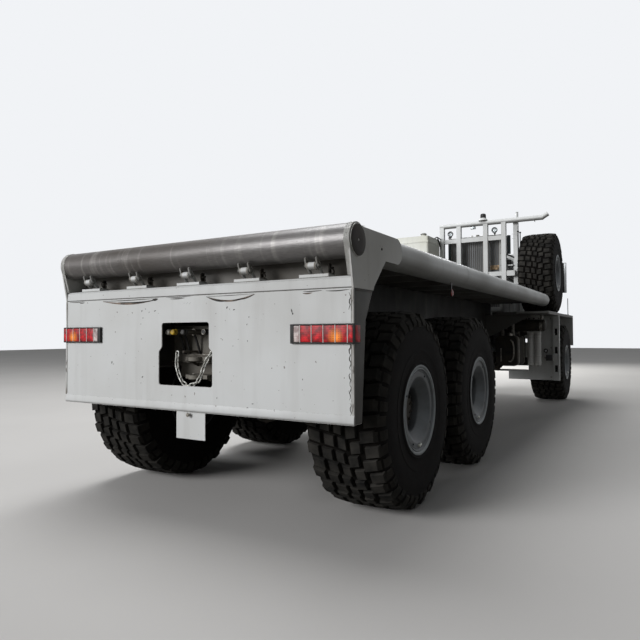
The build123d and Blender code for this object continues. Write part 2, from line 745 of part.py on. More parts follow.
def tail_plate():
    """Flat plate across the tail with its coupling opening and the hanging licence bracket."""
    plate = block(-BODY_HALF, BODY_HALF, 0, TAIL_PLATE_THICK, TAIL_PLATE_Z, TAIL_SEAM_Z)
    hole = along_y(opening_outline(), -5, TAIL_PLATE_THICK + 5)
    hole = fillet(hole.edges().filter_by(Axis.Y), OPENING_CORNER_R)
    plate -= hole
    x0 = LICENCE_X - LICENCE_WIDTH / 2
    x1 = LICENCE_X + LICENCE_WIDTH / 2
    front = TAIL_PLATE_THICK + LICENCE_THICK
    plate += block(x0, x1, TAIL_PLATE_THICK, front, LICENCE_Z, TAIL_PLATE_Z + LICENCE_OVERLAP)
    return plate


def side_plate():
    """Right cheek plate: round the roller, forward along the deck tube and down the tail."""
    cheek_r = ROLLER_R + ROLLER_RIM
    cover_r = DECK_TUBE_R - COVER_MARGIN
    low = DECK_TUBE_Z - cover_r
    high = DECK_TUBE_Z + cover_r
    outline = [
        (TAIL_PLATE_THICK, TAIL_PLATE_Z), (CHEEK_FOOT_Y, TAIL_PLATE_Z), CHEEK_KNEE, CHEEK_BEND,
        (CHEEK_REACH, low), (COVER_END_Y, low), (COVER_END_Y, high), (ROLLER_Y + cheek_r * 0.6, high),
        (ROLLER_Y, ROLLER_Z + cheek_r), (-TAIL_REACH, ROLLER_Z), (0, TAIL_SEAM_Z), (TAIL_PLATE_THICK, TAIL_SEAM_Z),
    ]
    plate = along_x(outline, SIDE_INNER_X, BODY_HALF)
    plate += rod((SIDE_INNER_X, ROLLER_Y, ROLLER_Z), (BODY_HALF, ROLLER_Y, ROLLER_Z), cheek_r)
    plate += rod((SIDE_INNER_X, COVER_END_Y, DECK_TUBE_Z), (BODY_HALF, COVER_END_Y, DECK_TUBE_Z), cover_r)
    plate -= block(BODY_HALF - CHEEK_RECESS, BODY_HALF + 1, TAIL_PLATE_THICK - 1, CHEEK_BEND[0],
                   TAIL_PLATE_Z - 1, TAIL_SEAM_Z)
    cap_end = BODY_HALF + ROLLER_CAP_THICK
    plate += rod((BODY_HALF, ROLLER_Y, ROLLER_Z), (cap_end, ROLLER_Y, ROLLER_Z), ROLLER_CAP_R)
    bore_r = ROLLER_SHAFT_R + RUNNING_FIT
    plate -= rod((SIDE_INNER_X - 1, ROLLER_Y, ROLLER_Z), (BODY_HALF, ROLLER_Y, ROLLER_Z), bore_r)
    return plate


def tail_beam():
    """Box beam above the tail plate: a shelf under the roller, a web ahead and five brackets."""
    outline = [
        (8, TAIL_SEAM_Z), (0, TAIL_SEAM_Z + 10), (0, BEAM_SHELF_Z - 18), (18, BEAM_SHELF_Z),
        (BEAM_SHELF_DEPTH, BEAM_SHELF_Z), (BEAM_SHELF_DEPTH, DECK_Z), (BEAM_DEPTH, DECK_Z), (BEAM_DEPTH, TAIL_SEAM_Z),
    ]
    reach = SIDE_INNER_X - SEAT_GAP
    beam = along_x(outline, -reach, reach)
    pin_y = BRACKET_PIN_Y
    foot_y = pin_y + BRACKET_LEAN
    ear_top = BRACKET_PIN_Z + BRACKET_EAR_RISE
    base_top = BEAM_SHELF_Z + BRACKET_BASE_THICK
    ear_half = BRACKET_EAR_WIDTH / 2
    ear = [(foot_y - ear_half, base_top), (pin_y - ear_half, BRACKET_PIN_Z), (pin_y - ear_half, ear_top),
           (pin_y + ear_half, ear_top), (foot_y + ear_half, base_top)]
    inner = BRACKET_HALF - BRACKET_EAR_THICK
    for index in range(-2, 3):
        x = index * BRACKET_PITCH
        beam += block(x - BRACKET_BASE_HALF, x + BRACKET_BASE_HALF, 18, foot_y + 60, BEAM_SHELF_Z, base_top)
        for side in (-1, 1):
            beam += along_x(ear, x + side * inner, x + side * BRACKET_HALF)
        beam += rod((x - BRACKET_HALF - 8, pin_y, BRACKET_PIN_Z), (x + BRACKET_HALF + 8, pin_y, BRACKET_PIN_Z),
                    BRACKET_PIN_R)
        beam += rod((x - inner, pin_y, BRACKET_PIN_Z), (x + inner, pin_y, BRACKET_PIN_Z), BRACKET_SHEAVE_R)
    return beam


def tail_roller():
    """Plain pipe roller on short end shafts."""
    half = SIDE_INNER_X - MOVING_GAP
    reach = SIDE_INNER_X + ROLLER_SHAFT_REACH
    pipe = rod((-half, ROLLER_Y, ROLLER_Z), (half, ROLLER_Y, ROLLER_Z), ROLLER_R)
    return pipe + rod((-reach, ROLLER_Y, ROLLER_Z), (reach, ROLLER_Y, ROLLER_Z), ROLLER_SHAFT_R)


def deck_rails():
    """Large round side rails of the deck with dished front ends."""
    start = BEAM_DEPTH + SEAT_GAP
    tube = rod((DECK_TUBE_X, start, DECK_TUBE_Z), (DECK_TUBE_X, DECK_FRONT_Y, DECK_TUBE_Z), DECK_TUBE_R)
    end = tube.edges().filter_by(GeomType.CIRCLE).sort_by(Axis.Y)[-1]
    return both_sides(fillet(end, DECK_TUBE_R * 0.5))


def deck():
    """Deck plate between the side rails with the cross beams welded under it."""
    drop = DECK_Z - DECK_PLATE_THICK - DECK_TUBE_Z
    plate_half = DECK_TUBE_X - sqrt(DECK_TUBE_R ** 2 - drop ** 2) - SEAT_GAP
    beam_half = DECK_TUBE_X - DECK_TUBE_R - SEAT_GAP
    under = DECK_Z - DECK_PLATE_THICK
    front = DECK_FRONT_Y + DECK_OVERHANG
    step = GUARD_OUTER_X + GUARD_POST
    outline = [
        (-plate_half, BEAM_DEPTH), (plate_half, BEAM_DEPTH), (plate_half, DECK_FRONT_Y), (step, DECK_FRONT_Y),
        (step, front), (-step, front), (-step, DECK_FRONT_Y), (-plate_half, DECK_FRONT_Y),
    ]
    piece = along_z(outline, under, DECK_Z)
    for y in spaced(BEAM_DEPTH + 300, DECK_FRONT_Y - 200, DECK_BEAM_COUNT):
        piece += block(-beam_half, beam_half, y, y + DECK_BEAM_WIDTH, under - DECK_BEAM_HEIGHT, under)
    return piece


def tail_lamps():
    """Long lamp clusters that wrap round the tail plate's outer corners."""
    top = TAIL_LAMP_Z + TAIL_LAMP_HEIGHT
    outer = BODY_HALF + 10
    lamp = block(TAIL_LAMP_INNER_X, outer, -TAIL_LAMP_DEPTH, 0, TAIL_LAMP_Z, top)
    lamp += block(BODY_HALF, outer, -TAIL_LAMP_DEPTH, TAIL_LAMP_WRAP, TAIL_LAMP_Z, top)
    return both_sides(lamp)


def tow_coupling():
    """Back plate between the rails with two jaw plates, a pin hole and the air couplers."""
    reach = RAIL_X - RAIL_THICK
    front = COUPLING_PLATE_Y + COUPLING_PLATE_THICK
    low = RAIL_Z + RAIL_THICK
    high = RAIL_TOP_Z - RAIL_THICK
    piece = block(-reach, reach, COUPLING_PLATE_Y, front, low, high)
    inner = RAIL_X - RAIL_FLANGE - SEAT_GAP
    piece += block(-inner, inner, COUPLING_PLATE_Y, front, JAW_LOWER_Z, low)
    bar_top = COUPLING_BAR_Z + COUPLING_BAR_HEIGHT
    piece += block(-inner, inner, COUPLING_PLATE_Y - COUPLING_BAR_DEPTH, COUPLING_PLATE_Y, COUPLING_BAR_Z, bar_top)
    half = JAW_WIDTH / 2
    for z in (JAW_UPPER_Z, JAW_LOWER_Z):
        plate = block(-half, half, JAW_PIN_Y, COUPLING_PLATE_Y, z, z + JAW_PLATE_THICK)
        plate += rod((0, JAW_PIN_Y, z), (0, JAW_PIN_Y, z + JAW_PLATE_THICK), 70)
        piece += plate
        for side in (-1, 1):
            x = side * (half - 6)
            piece += along_x([(JAW_PIN_Y, z), (COUPLING_PLATE_Y, z - 60), (COUPLING_PLATE_Y, z)], x - 6, x + 6)
    places = chain_places()
    reach = CHAIN_LINK_INNER / 2 - CHAIN_PIN_R - SEAT_GAP
    for middle, direction in ((places[0][0], -places[0][1]), (places[-1][0], places[-1][1])):
        pin = middle + direction * reach
        piece += rod((pin.X, CHAIN_Y - 18, pin.Z), (pin.X, JAW_PIN_Y, pin.Z), CHAIN_PIN_R)
        piece += block(pin.X - 10, pin.X + 10, JAW_PIN_Y - 20, COUPLING_PLATE_Y, pin.Z - 10, pin.Z + 10)
    hole = JAW_PIN_R + BOLT_GAP
    piece -= rod((0, JAW_PIN_Y, JAW_LOWER_Z - 1), (0, JAW_PIN_Y, JAW_UPPER_Z + JAW_PLATE_THICK + 1), hole)
    for x in AIR_COUPLER_XS:
        start = (x, COUPLING_PLATE_Y - AIR_COUPLER_LENGTH, AIR_COUPLER_Z)
        piece += rod(start, (x, COUPLING_PLATE_Y, AIR_COUPLER_Z), AIR_COUPLER_R)
    return piece


def oval(length, width, corner):
    """Rectangle about the origin with its corners cut off, as the outline of a link."""
    x = length / 2
    y = width / 2
    half = [(x, y - corner), (x - corner, y), (corner - x, y), (-x, y - corner)]
    return Polyline(*half, *[(a, -b) for a, b in reversed(half)], close=True)


def chain_link(centre, direction, upright):
    """One oval link, flat across the chain's plane or upright in it."""
    side = Vector(0, 1, 0) if upright else direction.cross(Vector(0, 1, 0))
    plane = Plane(origin=centre, x_dir=direction, z_dir=side)
    outer = make_face(oval(CHAIN_LINK_INNER + 2 * CHAIN_WIRE, CHAIN_LINK_WIDTH, CHAIN_LINK_CORNER))
    inner = make_face(oval(CHAIN_LINK_INNER, CHAIN_LINK_WIDTH - 2 * CHAIN_WIRE, CHAIN_LINK_CORNER - CHAIN_WIRE))
    return extrude(plane * (outer - inner), CHAIN_WIRE / 2, both=True)


def chain_places():
    """Middle and direction of each link along the route; bent places get more play."""
    route = Spline(*[(x, CHAIN_Y, z) for x, z in CHAIN_ROUTE])
    half = CHAIN_LINK_INNER / 2
    knots = [0.0]
    while knots[-1] + CHAIN_LINK_INNER < route.length:
        before = route.tangent_at(max(knots[-1] - half, 0), PositionMode.LENGTH)
        after = route.tangent_at(knots[-1] + half, PositionMode.LENGTH)
        play = SEAT_GAP + CHAIN_WIRE / 2 * sin(radians(before.get_angle(after)))
        knots.append(knots[-1] + CHAIN_LINK_INNER - play)
    links = len(knots) - 1
    points = [route.position_at(knot, PositionMode.LENGTH) for knot in knots[:links + links % 2]]
    return [((a + b) / 2, (b - a).normalized()) for a, b in zip(points, points[1:])]


def safety_chain():
    """Short chain of oval links that hangs between the two pins beside the jaw."""
    places = enumerate(chain_places())
    return group(*[chain_link(middle, direction, index % 2 == 0) for index, (middle, direction) in places])


# Guard frame, radiator, tank and winch

def guard_frame():
    """Square posts and cross bars with a round top pipe that runs on over the spare wheel."""
    half = GUARD_POST / 2
    pieces = None
    for x in (-GUARD_OUTER_X, -GUARD_INNER_X, GUARD_INNER_X, GUARD_OUTER_X):
        post = block(x - half, x + half, GUARD_Y - half, GUARD_Y + half, DECK_Z, GUARD_TOP_Z)
        pieces = post if pieces is None else pieces + post
    for z in (GUARD_UPPER_BAR_Z, GUARD_LOWER_BAR_Z):
        bar = GUARD_BAR_HEIGHT / 2
        pieces += block(-GUARD_OUTER_X, GUARD_OUTER_X, GUARD_Y - 30, GUARD_Y + 30, z - bar, z + bar)
    pieces += rod((-GUARD_OUTER_X - half, GUARD_Y, GUARD_TOP_Z), (HOIST_END_X, GUARD_Y, GUARD_TOP_Z), GUARD_PIPE_R)
    pieces += rod((HOIST_END_X - 20, GUARD_Y, GUARD_TOP_Z),
                  (HOIST_END_X + 100, GUARD_Y, GUARD_TOP_Z + HOIST_RISE), GUARD_PIPE_R - 5)
    y = GUARD_Y + HOIST_POST_STEP
    x = HOIST_POST_X
    pieces += block(x - half, x + half, y - half, y + half, PLATFORM_TOP_Z, GUARD_TOP_Z)
    pieces += block(x - half, x + half, GUARD_Y, y, GUARD_TOP_Z - half, GUARD_TOP_Z + half)
    pieces += block(GUARD_OUTER_X, x, GUARD_Y - 30, y, GUARD_LOWER_BAR_Z - 60, GUARD_LOWER_BAR_Z + 60)
    stub_top = GUARD_TOP_Z + GUARD_PIPE_R + PIPE_STUB_HEIGHT
    pieces += rod((PIPE_STUB_X, GUARD_Y, GUARD_TOP_Z), (PIPE_STUB_X, GUARD_Y, stub_top), PIPE_STUB_R)
    return pieces


def spare_carrier():
    """Arm from the hoist post with the flange and shaft that hold the spare wheel's disc."""
    seat = SPARE_X + RIM_DISC_OFFSET - SEAT_GAP
    tip = seat + RIM_DISC_THICK + 60
    centre_y = SPARE_Y
    y = GUARD_Y + HOIST_POST_STEP
    x = HOIST_POST_X - 40
    start = y + GUARD_POST / 2 + SEAT_GAP
    arm = block(x, x + 80, start, centre_y + 60, SPARE_Z - 70, SPARE_Z + 70)
    arm += rod((x, centre_y, SPARE_Z), (tip, centre_y, SPARE_Z), CARRIER_SHAFT_R)
    arm += rod((seat - CARRIER_PLATE_THICK, centre_y, SPARE_Z), (seat, centre_y, SPARE_Z), CARRIER_PLATE_R)
    return arm


def guard_lamps():
    """Two round work lamps on stems, a small lamp under the top pipe and the beacon on it."""
    pieces = []
    stem_top = GUARD_UPPER_BAR_Z + GUARD_BAR_HEIGHT / 2 + SEAT_GAP
    back = GUARD_Y - LAMP_DEPTH / 2
    for x in (-LAMP_X, LAMP_X):
        lamp = rod((x, back, LAMP_Z), (x, back + LAMP_DEPTH, LAMP_Z), LAMP_R)
        lamp -= rod((x, back - 1, LAMP_Z), (x, back + LAMP_SHADE, LAMP_Z), LAMP_R - LAMP_RIM)
        pieces.append(lamp + rod((x, GUARD_Y, stem_top), (x, GUARD_Y, LAMP_Z - LAMP_R + LAMP_RIM), LAMP_STEM_R))
    low = GUARD_TOP_Z - GUARD_PIPE_R - SEAT_GAP
    pieces.append(block(PIPE_LAMP_X - PIPE_LAMP_HALF, PIPE_LAMP_X + PIPE_LAMP_HALF, back, back + LAMP_DEPTH,
                        low - PIPE_LAMP_HEIGHT, low))
    base = GUARD_TOP_Z + GUARD_PIPE_R + SEAT_GAP
    shoulder = base + BEACON_FOOT_HEIGHT
    foot = Cone(BEACON_FOOT_R, BEACON_R, BEACON_FOOT_HEIGHT)
    foot = Pos(BEACON_X, GUARD_Y, (base + shoulder) / 2) * foot
    dome = rod((BEACON_X, GUARD_Y, shoulder), (BEACON_X, GUARD_Y, shoulder + BEACON_HEIGHT), BEACON_R)
    top = dome.edges().filter_by(GeomType.CIRCLE).sort_by(Axis.Z)[-1]
    pieces.append(foot + fillet(top, BEACON_R * 0.7))
    return group(*pieces)


def radiator():
    """Rear-facing radiator: side frames, finned core, header tank, cap and feet on the rails."""
    half = RADIATOR_WIDTH / 2
    y1 = RADIATOR_Y + RADIATOR_DEPTH
    core_y = RADIATOR_Y + RADIATOR_RECESS
    piece = block(-half, half, core_y, y1, RADIATOR_Z, RADIATOR_TOP_Z)
    for x in (-half, half - RADIATOR_FRAME):
        piece += block(x, x + RADIATOR_FRAME, RADIATOR_Y, core_y, RADIATOR_Z, RADIATOR_TOP_Z)
    fin_half = RADIATOR_FIN_THICK / 2
    outer_fin = half - RADIATOR_FRAME - RADIATOR_FIN_DEPTH
    for x in spaced(-outer_fin, outer_fin, RADIATOR_FINS):
        piece += block(x - fin_half, x + fin_half, core_y - RADIATOR_FIN_DEPTH, core_y, RADIATOR_Z, RADIATOR_TOP_Z)
    top = RADIATOR_TOP_Z + HEADER_HEIGHT
    header = block(-half, half, RADIATOR_Y, y1, RADIATOR_TOP_Z, top)
    piece += fillet(header.edges().filter_by(Axis.X).group_by(Axis.Z)[-1], HEADER_ROUND)
    cap_y = RADIATOR_Y + RADIATOR_DEPTH / 2
    piece += rod((FILLER_CAP_R, cap_y, top), (FILLER_CAP_R, cap_y, top + FILLER_CAP_HEIGHT), FILLER_CAP_R)
    for x in (-RAIL_X, RAIL_X - RAIL_FLANGE):
        piece += block(x, x + RAIL_FLANGE, RADIATOR_Y, y1, RAIL_TOP_Z, RADIATOR_Z)
    return piece


def engine_hood():
    """Sheet housing over the engine between the radiator and the cab, open underneath."""
    y0 = RADIATOR_Y + RADIATOR_DEPTH + SEAT_GAP
    y1 = CAB_Y - 60
    outer = block(-HOOD_HALF, HOOD_HALF, y0, y1, PLATFORM_TOP_Z, HOOD_TOP_Z)
    outer = fillet(outer.edges().filter_by(Axis.Y).group_by(Axis.Z)[-1], HOOD_CORNER_R)
    wall = HOOD_WALL
    return outer - block(-HOOD_HALF + wall, HOOD_HALF - wall, y0 + wall, y1 - wall, PLATFORM_TOP_Z - 1,
                         HOOD_TOP_Z - wall)


def power_block():
    """Engine, gearbox and transfer case as plain masses at their real places."""
    y1 = CAB_Y - 130
    piece = block(-ENGINE_HALF, ENGINE_HALF, ENGINE_Y, y1, RAIL_TOP_Z, ENGINE_TOP_Z)
    piece += block(-SUMP_HALF, SUMP_HALF, ENGINE_Y, y1, SUMP_Z, RAIL_TOP_Z)
    gearbox_y = ENGINE_Y - GEARBOX_LENGTH
    top = GEARBOX_Z + GEARBOX_HEIGHT
    piece += block(-GEARBOX_HALF, GEARBOX_HALF, gearbox_y, ENGINE_Y, GEARBOX_Z, top)
    transfer_end = TRANSFER_Y + TRANSFER_LENGTH
    piece += block(-GEARBOX_HALF, GEARBOX_HALF, TRANSFER_Y, transfer_end, TRANSFER_Z, top)
    return piece + rod((0, transfer_end, GEARBOX_Z + 200), (0, gearbox_y, GEARBOX_Z + 200), 60)


def deck_tank():
    """Tall box tank on feet at the deck's front left corner, with a filler on top."""
    y1 = GUARD_Y - GUARD_POST / 2 - TANK_GUARD_GAP
    y0 = y1 - TANK_LENGTH
    x1 = TANK_X + TANK_WIDTH
    z0 = DECK_Z + TANK_FOOT
    tank = block(TANK_X, x1, y0, y1, z0, TANK_TOP_Z)
    tank = fillet(tank.edges().filter_by(Axis.Z), TANK_CORNER_R)
    for x in (TANK_X + 2 * TANK_FOOT_MARGIN, x1 - TANK_FOOT_MARGIN - TANK_FOOT_WIDTH):
        tank += block(x, x + TANK_FOOT_WIDTH, y0 + TANK_CORNER_R, y1 - TANK_CORNER_R, DECK_Z, z0)
    filler = (x1 - TANK_FILLER_MARGIN, y0 + TANK_FILLER_MARGIN)
    return tank + rod((*filler, TANK_TOP_Z), (*filler, TANK_TOP_Z + TANK_FILLER_R), TANK_FILLER_R)


def winch_frame():
    """Winch stand: base plate, two side plates and a tie bar."""
    z0 = DECK_Z
    axis_z = z0 + WINCH_AXIS_HEIGHT
    half = WINCH_HALF + WINCH_PLATE
    reach = WINCH_FLANGE_R + WINCH_FOOT_REACH
    foot = z0 + WINCH_FOOT_THICK
    piece = block(-half, half, WINCH_Y - reach, WINCH_Y - reach + WINCH_FOOT_WIDTH, z0, foot)
    piece += block(-half, half, WINCH_Y + reach - WINCH_FOOT_WIDTH, WINCH_Y + reach, z0, foot)
    cheek = [(reach, z0), (reach, z0 + WINCH_FOOT_WIDTH), (WINCH_CHEEK_HALF, axis_z + WINCH_CHEEK_HALF)]
    outline = [(WINCH_Y + y, z) for y, z in cheek] + [(WINCH_Y - y, z) for y, z in reversed(cheek)]
    for side in (-1, 1):
        x0 = side * WINCH_HALF
        x1 = side * half
        piece += along_x(outline, min(x0, x1), max(x0, x1))
        bore = WINCH_SHAFT_R + RUNNING_FIT
        piece -= rod((x0 - side, WINCH_Y, axis_z), (x1 + side, WINCH_Y, axis_z), bore)
    return piece


def winch_drum():
    """Rope drum with two flanges on its shaft."""
    z = DECK_Z + WINCH_AXIS_HEIGHT
    half = WINCH_HALF - MOVING_GAP
    reach = WINCH_HALF + WINCH_PLATE - 2
    inner = half - WINCH_FLANGE_THICK
    profile = [(-reach, 0), (reach, 0), (reach, WINCH_SHAFT_R), (half, WINCH_SHAFT_R), (half, WINCH_FLANGE_R),
               (inner, WINCH_FLANGE_R), (inner, WINCH_DRUM_R), (-inner, WINCH_DRUM_R), (-inner, WINCH_FLANGE_R),
               (-half, WINCH_FLANGE_R), (-half, WINCH_SHAFT_R), (-reach, WINCH_SHAFT_R)]
    return turned_x(profile, (0, WINCH_Y, z))


# Platforms and wheel arches

def platforms():
    """Side platforms over the front wheels, held to the rails by outrigger plates."""
    z0 = PLATFORM_TOP_Z - PLATFORM_THICK
    inner = HOOD_HALF - HOOD_WALL
    slab = block(inner, PLATFORM_HALF, PLATFORM_Y, PLATFORM_END_Y, z0, PLATFORM_TOP_Z)
    slab = fillet(slab.edges().filter_by(Axis.Z).group_by(Axis.Y)[0], PLATFORM_REAR_R)
    for y in (PLATFORM_Y + 100, ARCH_Y - 50, FRONT_AXLE_Y + ARCH_FRONT - 12 - SEAT_GAP):
        slab += along_y([(RAIL_X, RAIL_TOP_Z - 200), (RAIL_X, z0), (PLATFORM_HALF - 300, z0)], y, y + 12)
    for y in (CAB_Y + 100, CAB_FRONT_Y - 450):
        slab += block(inner + 60, inner + 180, y, y + 120, PLATFORM_TOP_Z, CAB_FLOOR_Z)
    return both_sides(slab)


def arch_panels():
    """Wall behind each front wheel with its slotted step post, and the apron ahead of it."""
    under = PLATFORM_TOP_Z - PLATFORM_THICK
    post_x = PLATFORM_HALF - ARCH_POST_WIDTH
    y1 = ARCH_Y + ARCH_PANEL_THICK
    wall = block(ARCH_PANEL_INNER_X, post_x, ARCH_Y, y1, ARCH_POST_Z, under)
    low_top = ARCH_POST_Z + ARCH_LOW_BAR_HEIGHT
    wall += block(ARCH_LOW_BAR_INNER_X, ARCH_PANEL_INNER_X, ARCH_Y, y1, ARCH_POST_Z, low_top)
    post = block(post_x, PLATFORM_HALF, y1 - ARCH_POST_DEPTH, y1, ARCH_POST_Z, under)
    inner_wall = 12
    post -= block(post_x + inner_wall, PLATFORM_HALF - inner_wall, y1 - ARCH_POST_DEPTH + inner_wall, y1,
                  ARCH_POST_Z + inner_wall, under - inner_wall)
    middle = (post_x + PLATFORM_HALF) / 2
    for index in range(3):
        z = ARCH_POST_Z + 270 + index * ARCH_SLOT_PITCH
        post -= block(middle - ARCH_SLOT_WIDTH / 2, middle + ARCH_SLOT_WIDTH / 2, y1 - ARCH_POST_DEPTH - 1,
                      y1 - ARCH_POST_DEPTH + inner_wall + 1, z - ARCH_SLOT_HEIGHT / 2, z + ARCH_SLOT_HEIGHT / 2)
    junction = (post_x - JUNCTION_BOX_WIDTH, ARCH_Y - JUNCTION_BOX_DEPTH)
    wall += block(junction[0], post_x, junction[1], ARCH_Y, JUNCTION_BOX_Z, JUNCTION_BOX_Z + JUNCTION_BOX_HEIGHT)
    horn_z = JUNCTION_BOX_Z + JUNCTION_BOX_HEIGHT + HORN_R + 30
    wall += rod((junction[0], junction[1], horn_z), (junction[0], ARCH_Y, horn_z), HORN_R)
    apron_y = FRONT_AXLE_Y + ARCH_FRONT
    apron = block(APRON_INNER_X, PLATFORM_HALF, apron_y, apron_y + ARCH_PANEL_THICK, APRON_Z, under)
    right = wall + post
    return both_sides(group(right, apron))


def side_tanks():
    """Fuel tank on the left; oil tank, two ribbed filters and an air cylinder on the right."""
    y1 = ARCH_Y - SIDE_TANK_GAP
    under = PLATFORM_TOP_Z - PLATFORM_THICK
    oil_x = OIL_TANK_X + OIL_TANK_WIDTH / 2
    oil_z = OIL_TANK_Z + OIL_TANK_HEIGHT / 2
    oil_end = FILTER_Y + FILTER_R
    tanks = (
        # x of the middle, half width, rear end, front end, z of the middle, half height, corner
        (-FUEL_TANK_X, FUEL_TANK_HALF, y1 - FUEL_TANK_LENGTH, y1,
         FUEL_TANK_Z, FUEL_TANK_HALF_HEIGHT, FUEL_TANK_CORNER),
        (oil_x, OIL_TANK_WIDTH / 2, oil_end - OIL_TANK_LENGTH, oil_end,
         oil_z, OIL_TANK_HEIGHT / 2, OIL_TANK_CORNER),
    )
    pieces = []
    for x, half, rear, front, z, half_height, corner in tanks:
        tank = block(x - half, x + half, rear, front, z - half_height, z + half_height)
        tank = fillet(tank.edges().filter_by(Axis.Y), corner)
        for y in (rear + STRAP_MARGIN, front - STRAP_MARGIN - STRAP_WIDTH):
            tank += block(x - STRAP_HALF, x + STRAP_HALF, y, y + STRAP_WIDTH, z + half_height - 2, under)
        pieces.append(tank)
    head_top = FILTER_TOP_Z + FILTER_HEAD_HEIGHT
    x0 = FILTER_XS[0] - FILTER_R
    x1 = FILTER_XS[-1] + FILTER_R
    filters = block(x0, x1, FILTER_Y - FILTER_R, FILTER_Y + FILTER_R, FILTER_TOP_Z, head_top)
    filters += block(x0, x1, FILTER_Y, FILTER_Y + 12, head_top, under)
    for x in FILTER_XS:
        filters += rod((x, FILTER_Y, FILTER_Z), (x, FILTER_Y, FILTER_TOP_Z), FILTER_R)
        for z in spaced(FILTER_Z + 60, FILTER_TOP_Z - 100, FILTER_RIBS):
            filters += rod((x, FILTER_Y, z), (x, FILTER_Y, z + FILTER_RIB_HEIGHT), FILTER_R + FILTER_RIB_OUT)
    pieces.append(filters)
    air_y = y1 - AIR_TANK_LEAD
    air_end = AIR_TANK_X + AIR_TANK_LENGTH
    air = rod((AIR_TANK_X, air_y, AIR_TANK_Z), (air_end, air_y, AIR_TANK_Z), AIR_TANK_R)
    for x in (AIR_TANK_X + STRAP_WIDTH, air_end - 2 * STRAP_WIDTH):
        air += block(x, x + STRAP_WIDTH, air_y - 30, air_y + 30, AIR_TANK_Z, under)
    pieces.append(air)
    return group(*pieces)


# Cab

def cab_side_outline(inset=0.0):
    """Side view of the cab as (y, z) points, drawn inwards by an inset."""
    front = CAB_FRONT_Y - inset
    rear = CAB_Y + inset
    roof = CAB_ROOF_Z - inset
    lean = CAB_SCREEN_LEAN
    return [
        (rear, CAB_FLOOR_Z), (PLATFORM_END_Y + SEAT_GAP, CAB_FLOOR_Z), (PLATFORM_END_Y + SEAT_GAP, CAB_FASCIA_Z),
        (front, CAB_FASCIA_Z), (front, CAB_WAIST_Z), (front - lean, roof - 60), (front - lean - 60, roof), (rear, roof),
    ]


def cab_solid():
    """Outer form of the whole cab with its vertical corners rounded."""
    body = along_x(cab_side_outline(), -CAB_HALF, CAB_HALF)
    corners = [edge for edge in body.edges() if abs(edge.tangent_at(0.5).X) < 0.01
               and edge.center().Y > CAB_FRONT_Y - CAB_SCREEN_LEAN and edge.center().Z < CAB_ROOF_Z - 61]
    return fillet(corners, CAB_CORNER_R)


def door_box(grow, depth):
    """Block that the right door fills in the cab's side, grown by a margin."""
    y1 = CAB_FRONT_Y - DOOR_FROM_FRONT + grow
    y0 = CAB_FRONT_Y - DOOR_FROM_FRONT - DOOR_LENGTH - grow
    z0 = DOOR_Z - grow
    z1 = CAB_ROOF_Z - DOOR_TOP_GAP + grow
    return block(CAB_HALF - depth, CAB_HALF + 5, y0, y1, z0, z1)


def window_block(x0, x1, y0, y1, z0, z1, axis, grow=0.0):
    """Round-cornered block that cuts a window, or with a negative growth fills it as glass."""
    if axis == Axis.X:
        cut = block(x0, x1, y0 - grow, y1 + grow, z0 - grow, z1 + grow)
    else:
        cut = block(x0 - grow, x1 + grow, y0, y1, z0 - grow, z1 + grow)
    return fillet(cut.edges().filter_by(axis), WINDOW_CORNER_R)


def door_window(x0, x1, grow=0.0):
    """Window of the right door."""
    y1 = CAB_FRONT_Y - DOOR_FROM_FRONT - DOOR_FRAME
    y0 = CAB_FRONT_Y - DOOR_FROM_FRONT - DOOR_LENGTH + DOOR_FRAME
    z1 = CAB_ROOF_Z - DOOR_TOP_GAP - DOOR_FRAME
    return window_block(x0, x1, y0, y1, CAB_WAIST_Z, z1, Axis.X, grow)


def quarter_window(x0, x1, grow=0.0):
    """Small fixed window between the right door and the cab's rear wall."""
    y0 = CAB_Y + CAB_WALL + 20
    y1 = CAB_FRONT_Y - DOOR_FROM_FRONT - DOOR_LENGTH - 50
    z1 = CAB_ROOF_Z - DOOR_TOP_GAP - DOOR_FRAME
    return window_block(x0, x1, y0, y1, CAB_WAIST_Z, z1, Axis.X, grow)


def back_window(y0, y1, grow=0.0):
    """Wide window in the cab's rear wall."""
    return window_block(-850, 850, y0, y1, CAB_WAIST_Z + 20, CAB_ROOF_Z - 200, Axis.Y, grow)


def screen_cutter(grow=0.0):
    """Windscreen opening, cut straight along Y through the leaning front."""
    half = CAB_HALF - 130
    return window_block(-half, half, CAB_FRONT_Y - 600, CAB_FRONT_Y + 50, CAB_WAIST_Z + 40, CAB_ROOF_Z - 150,
                        Axis.Y, grow)


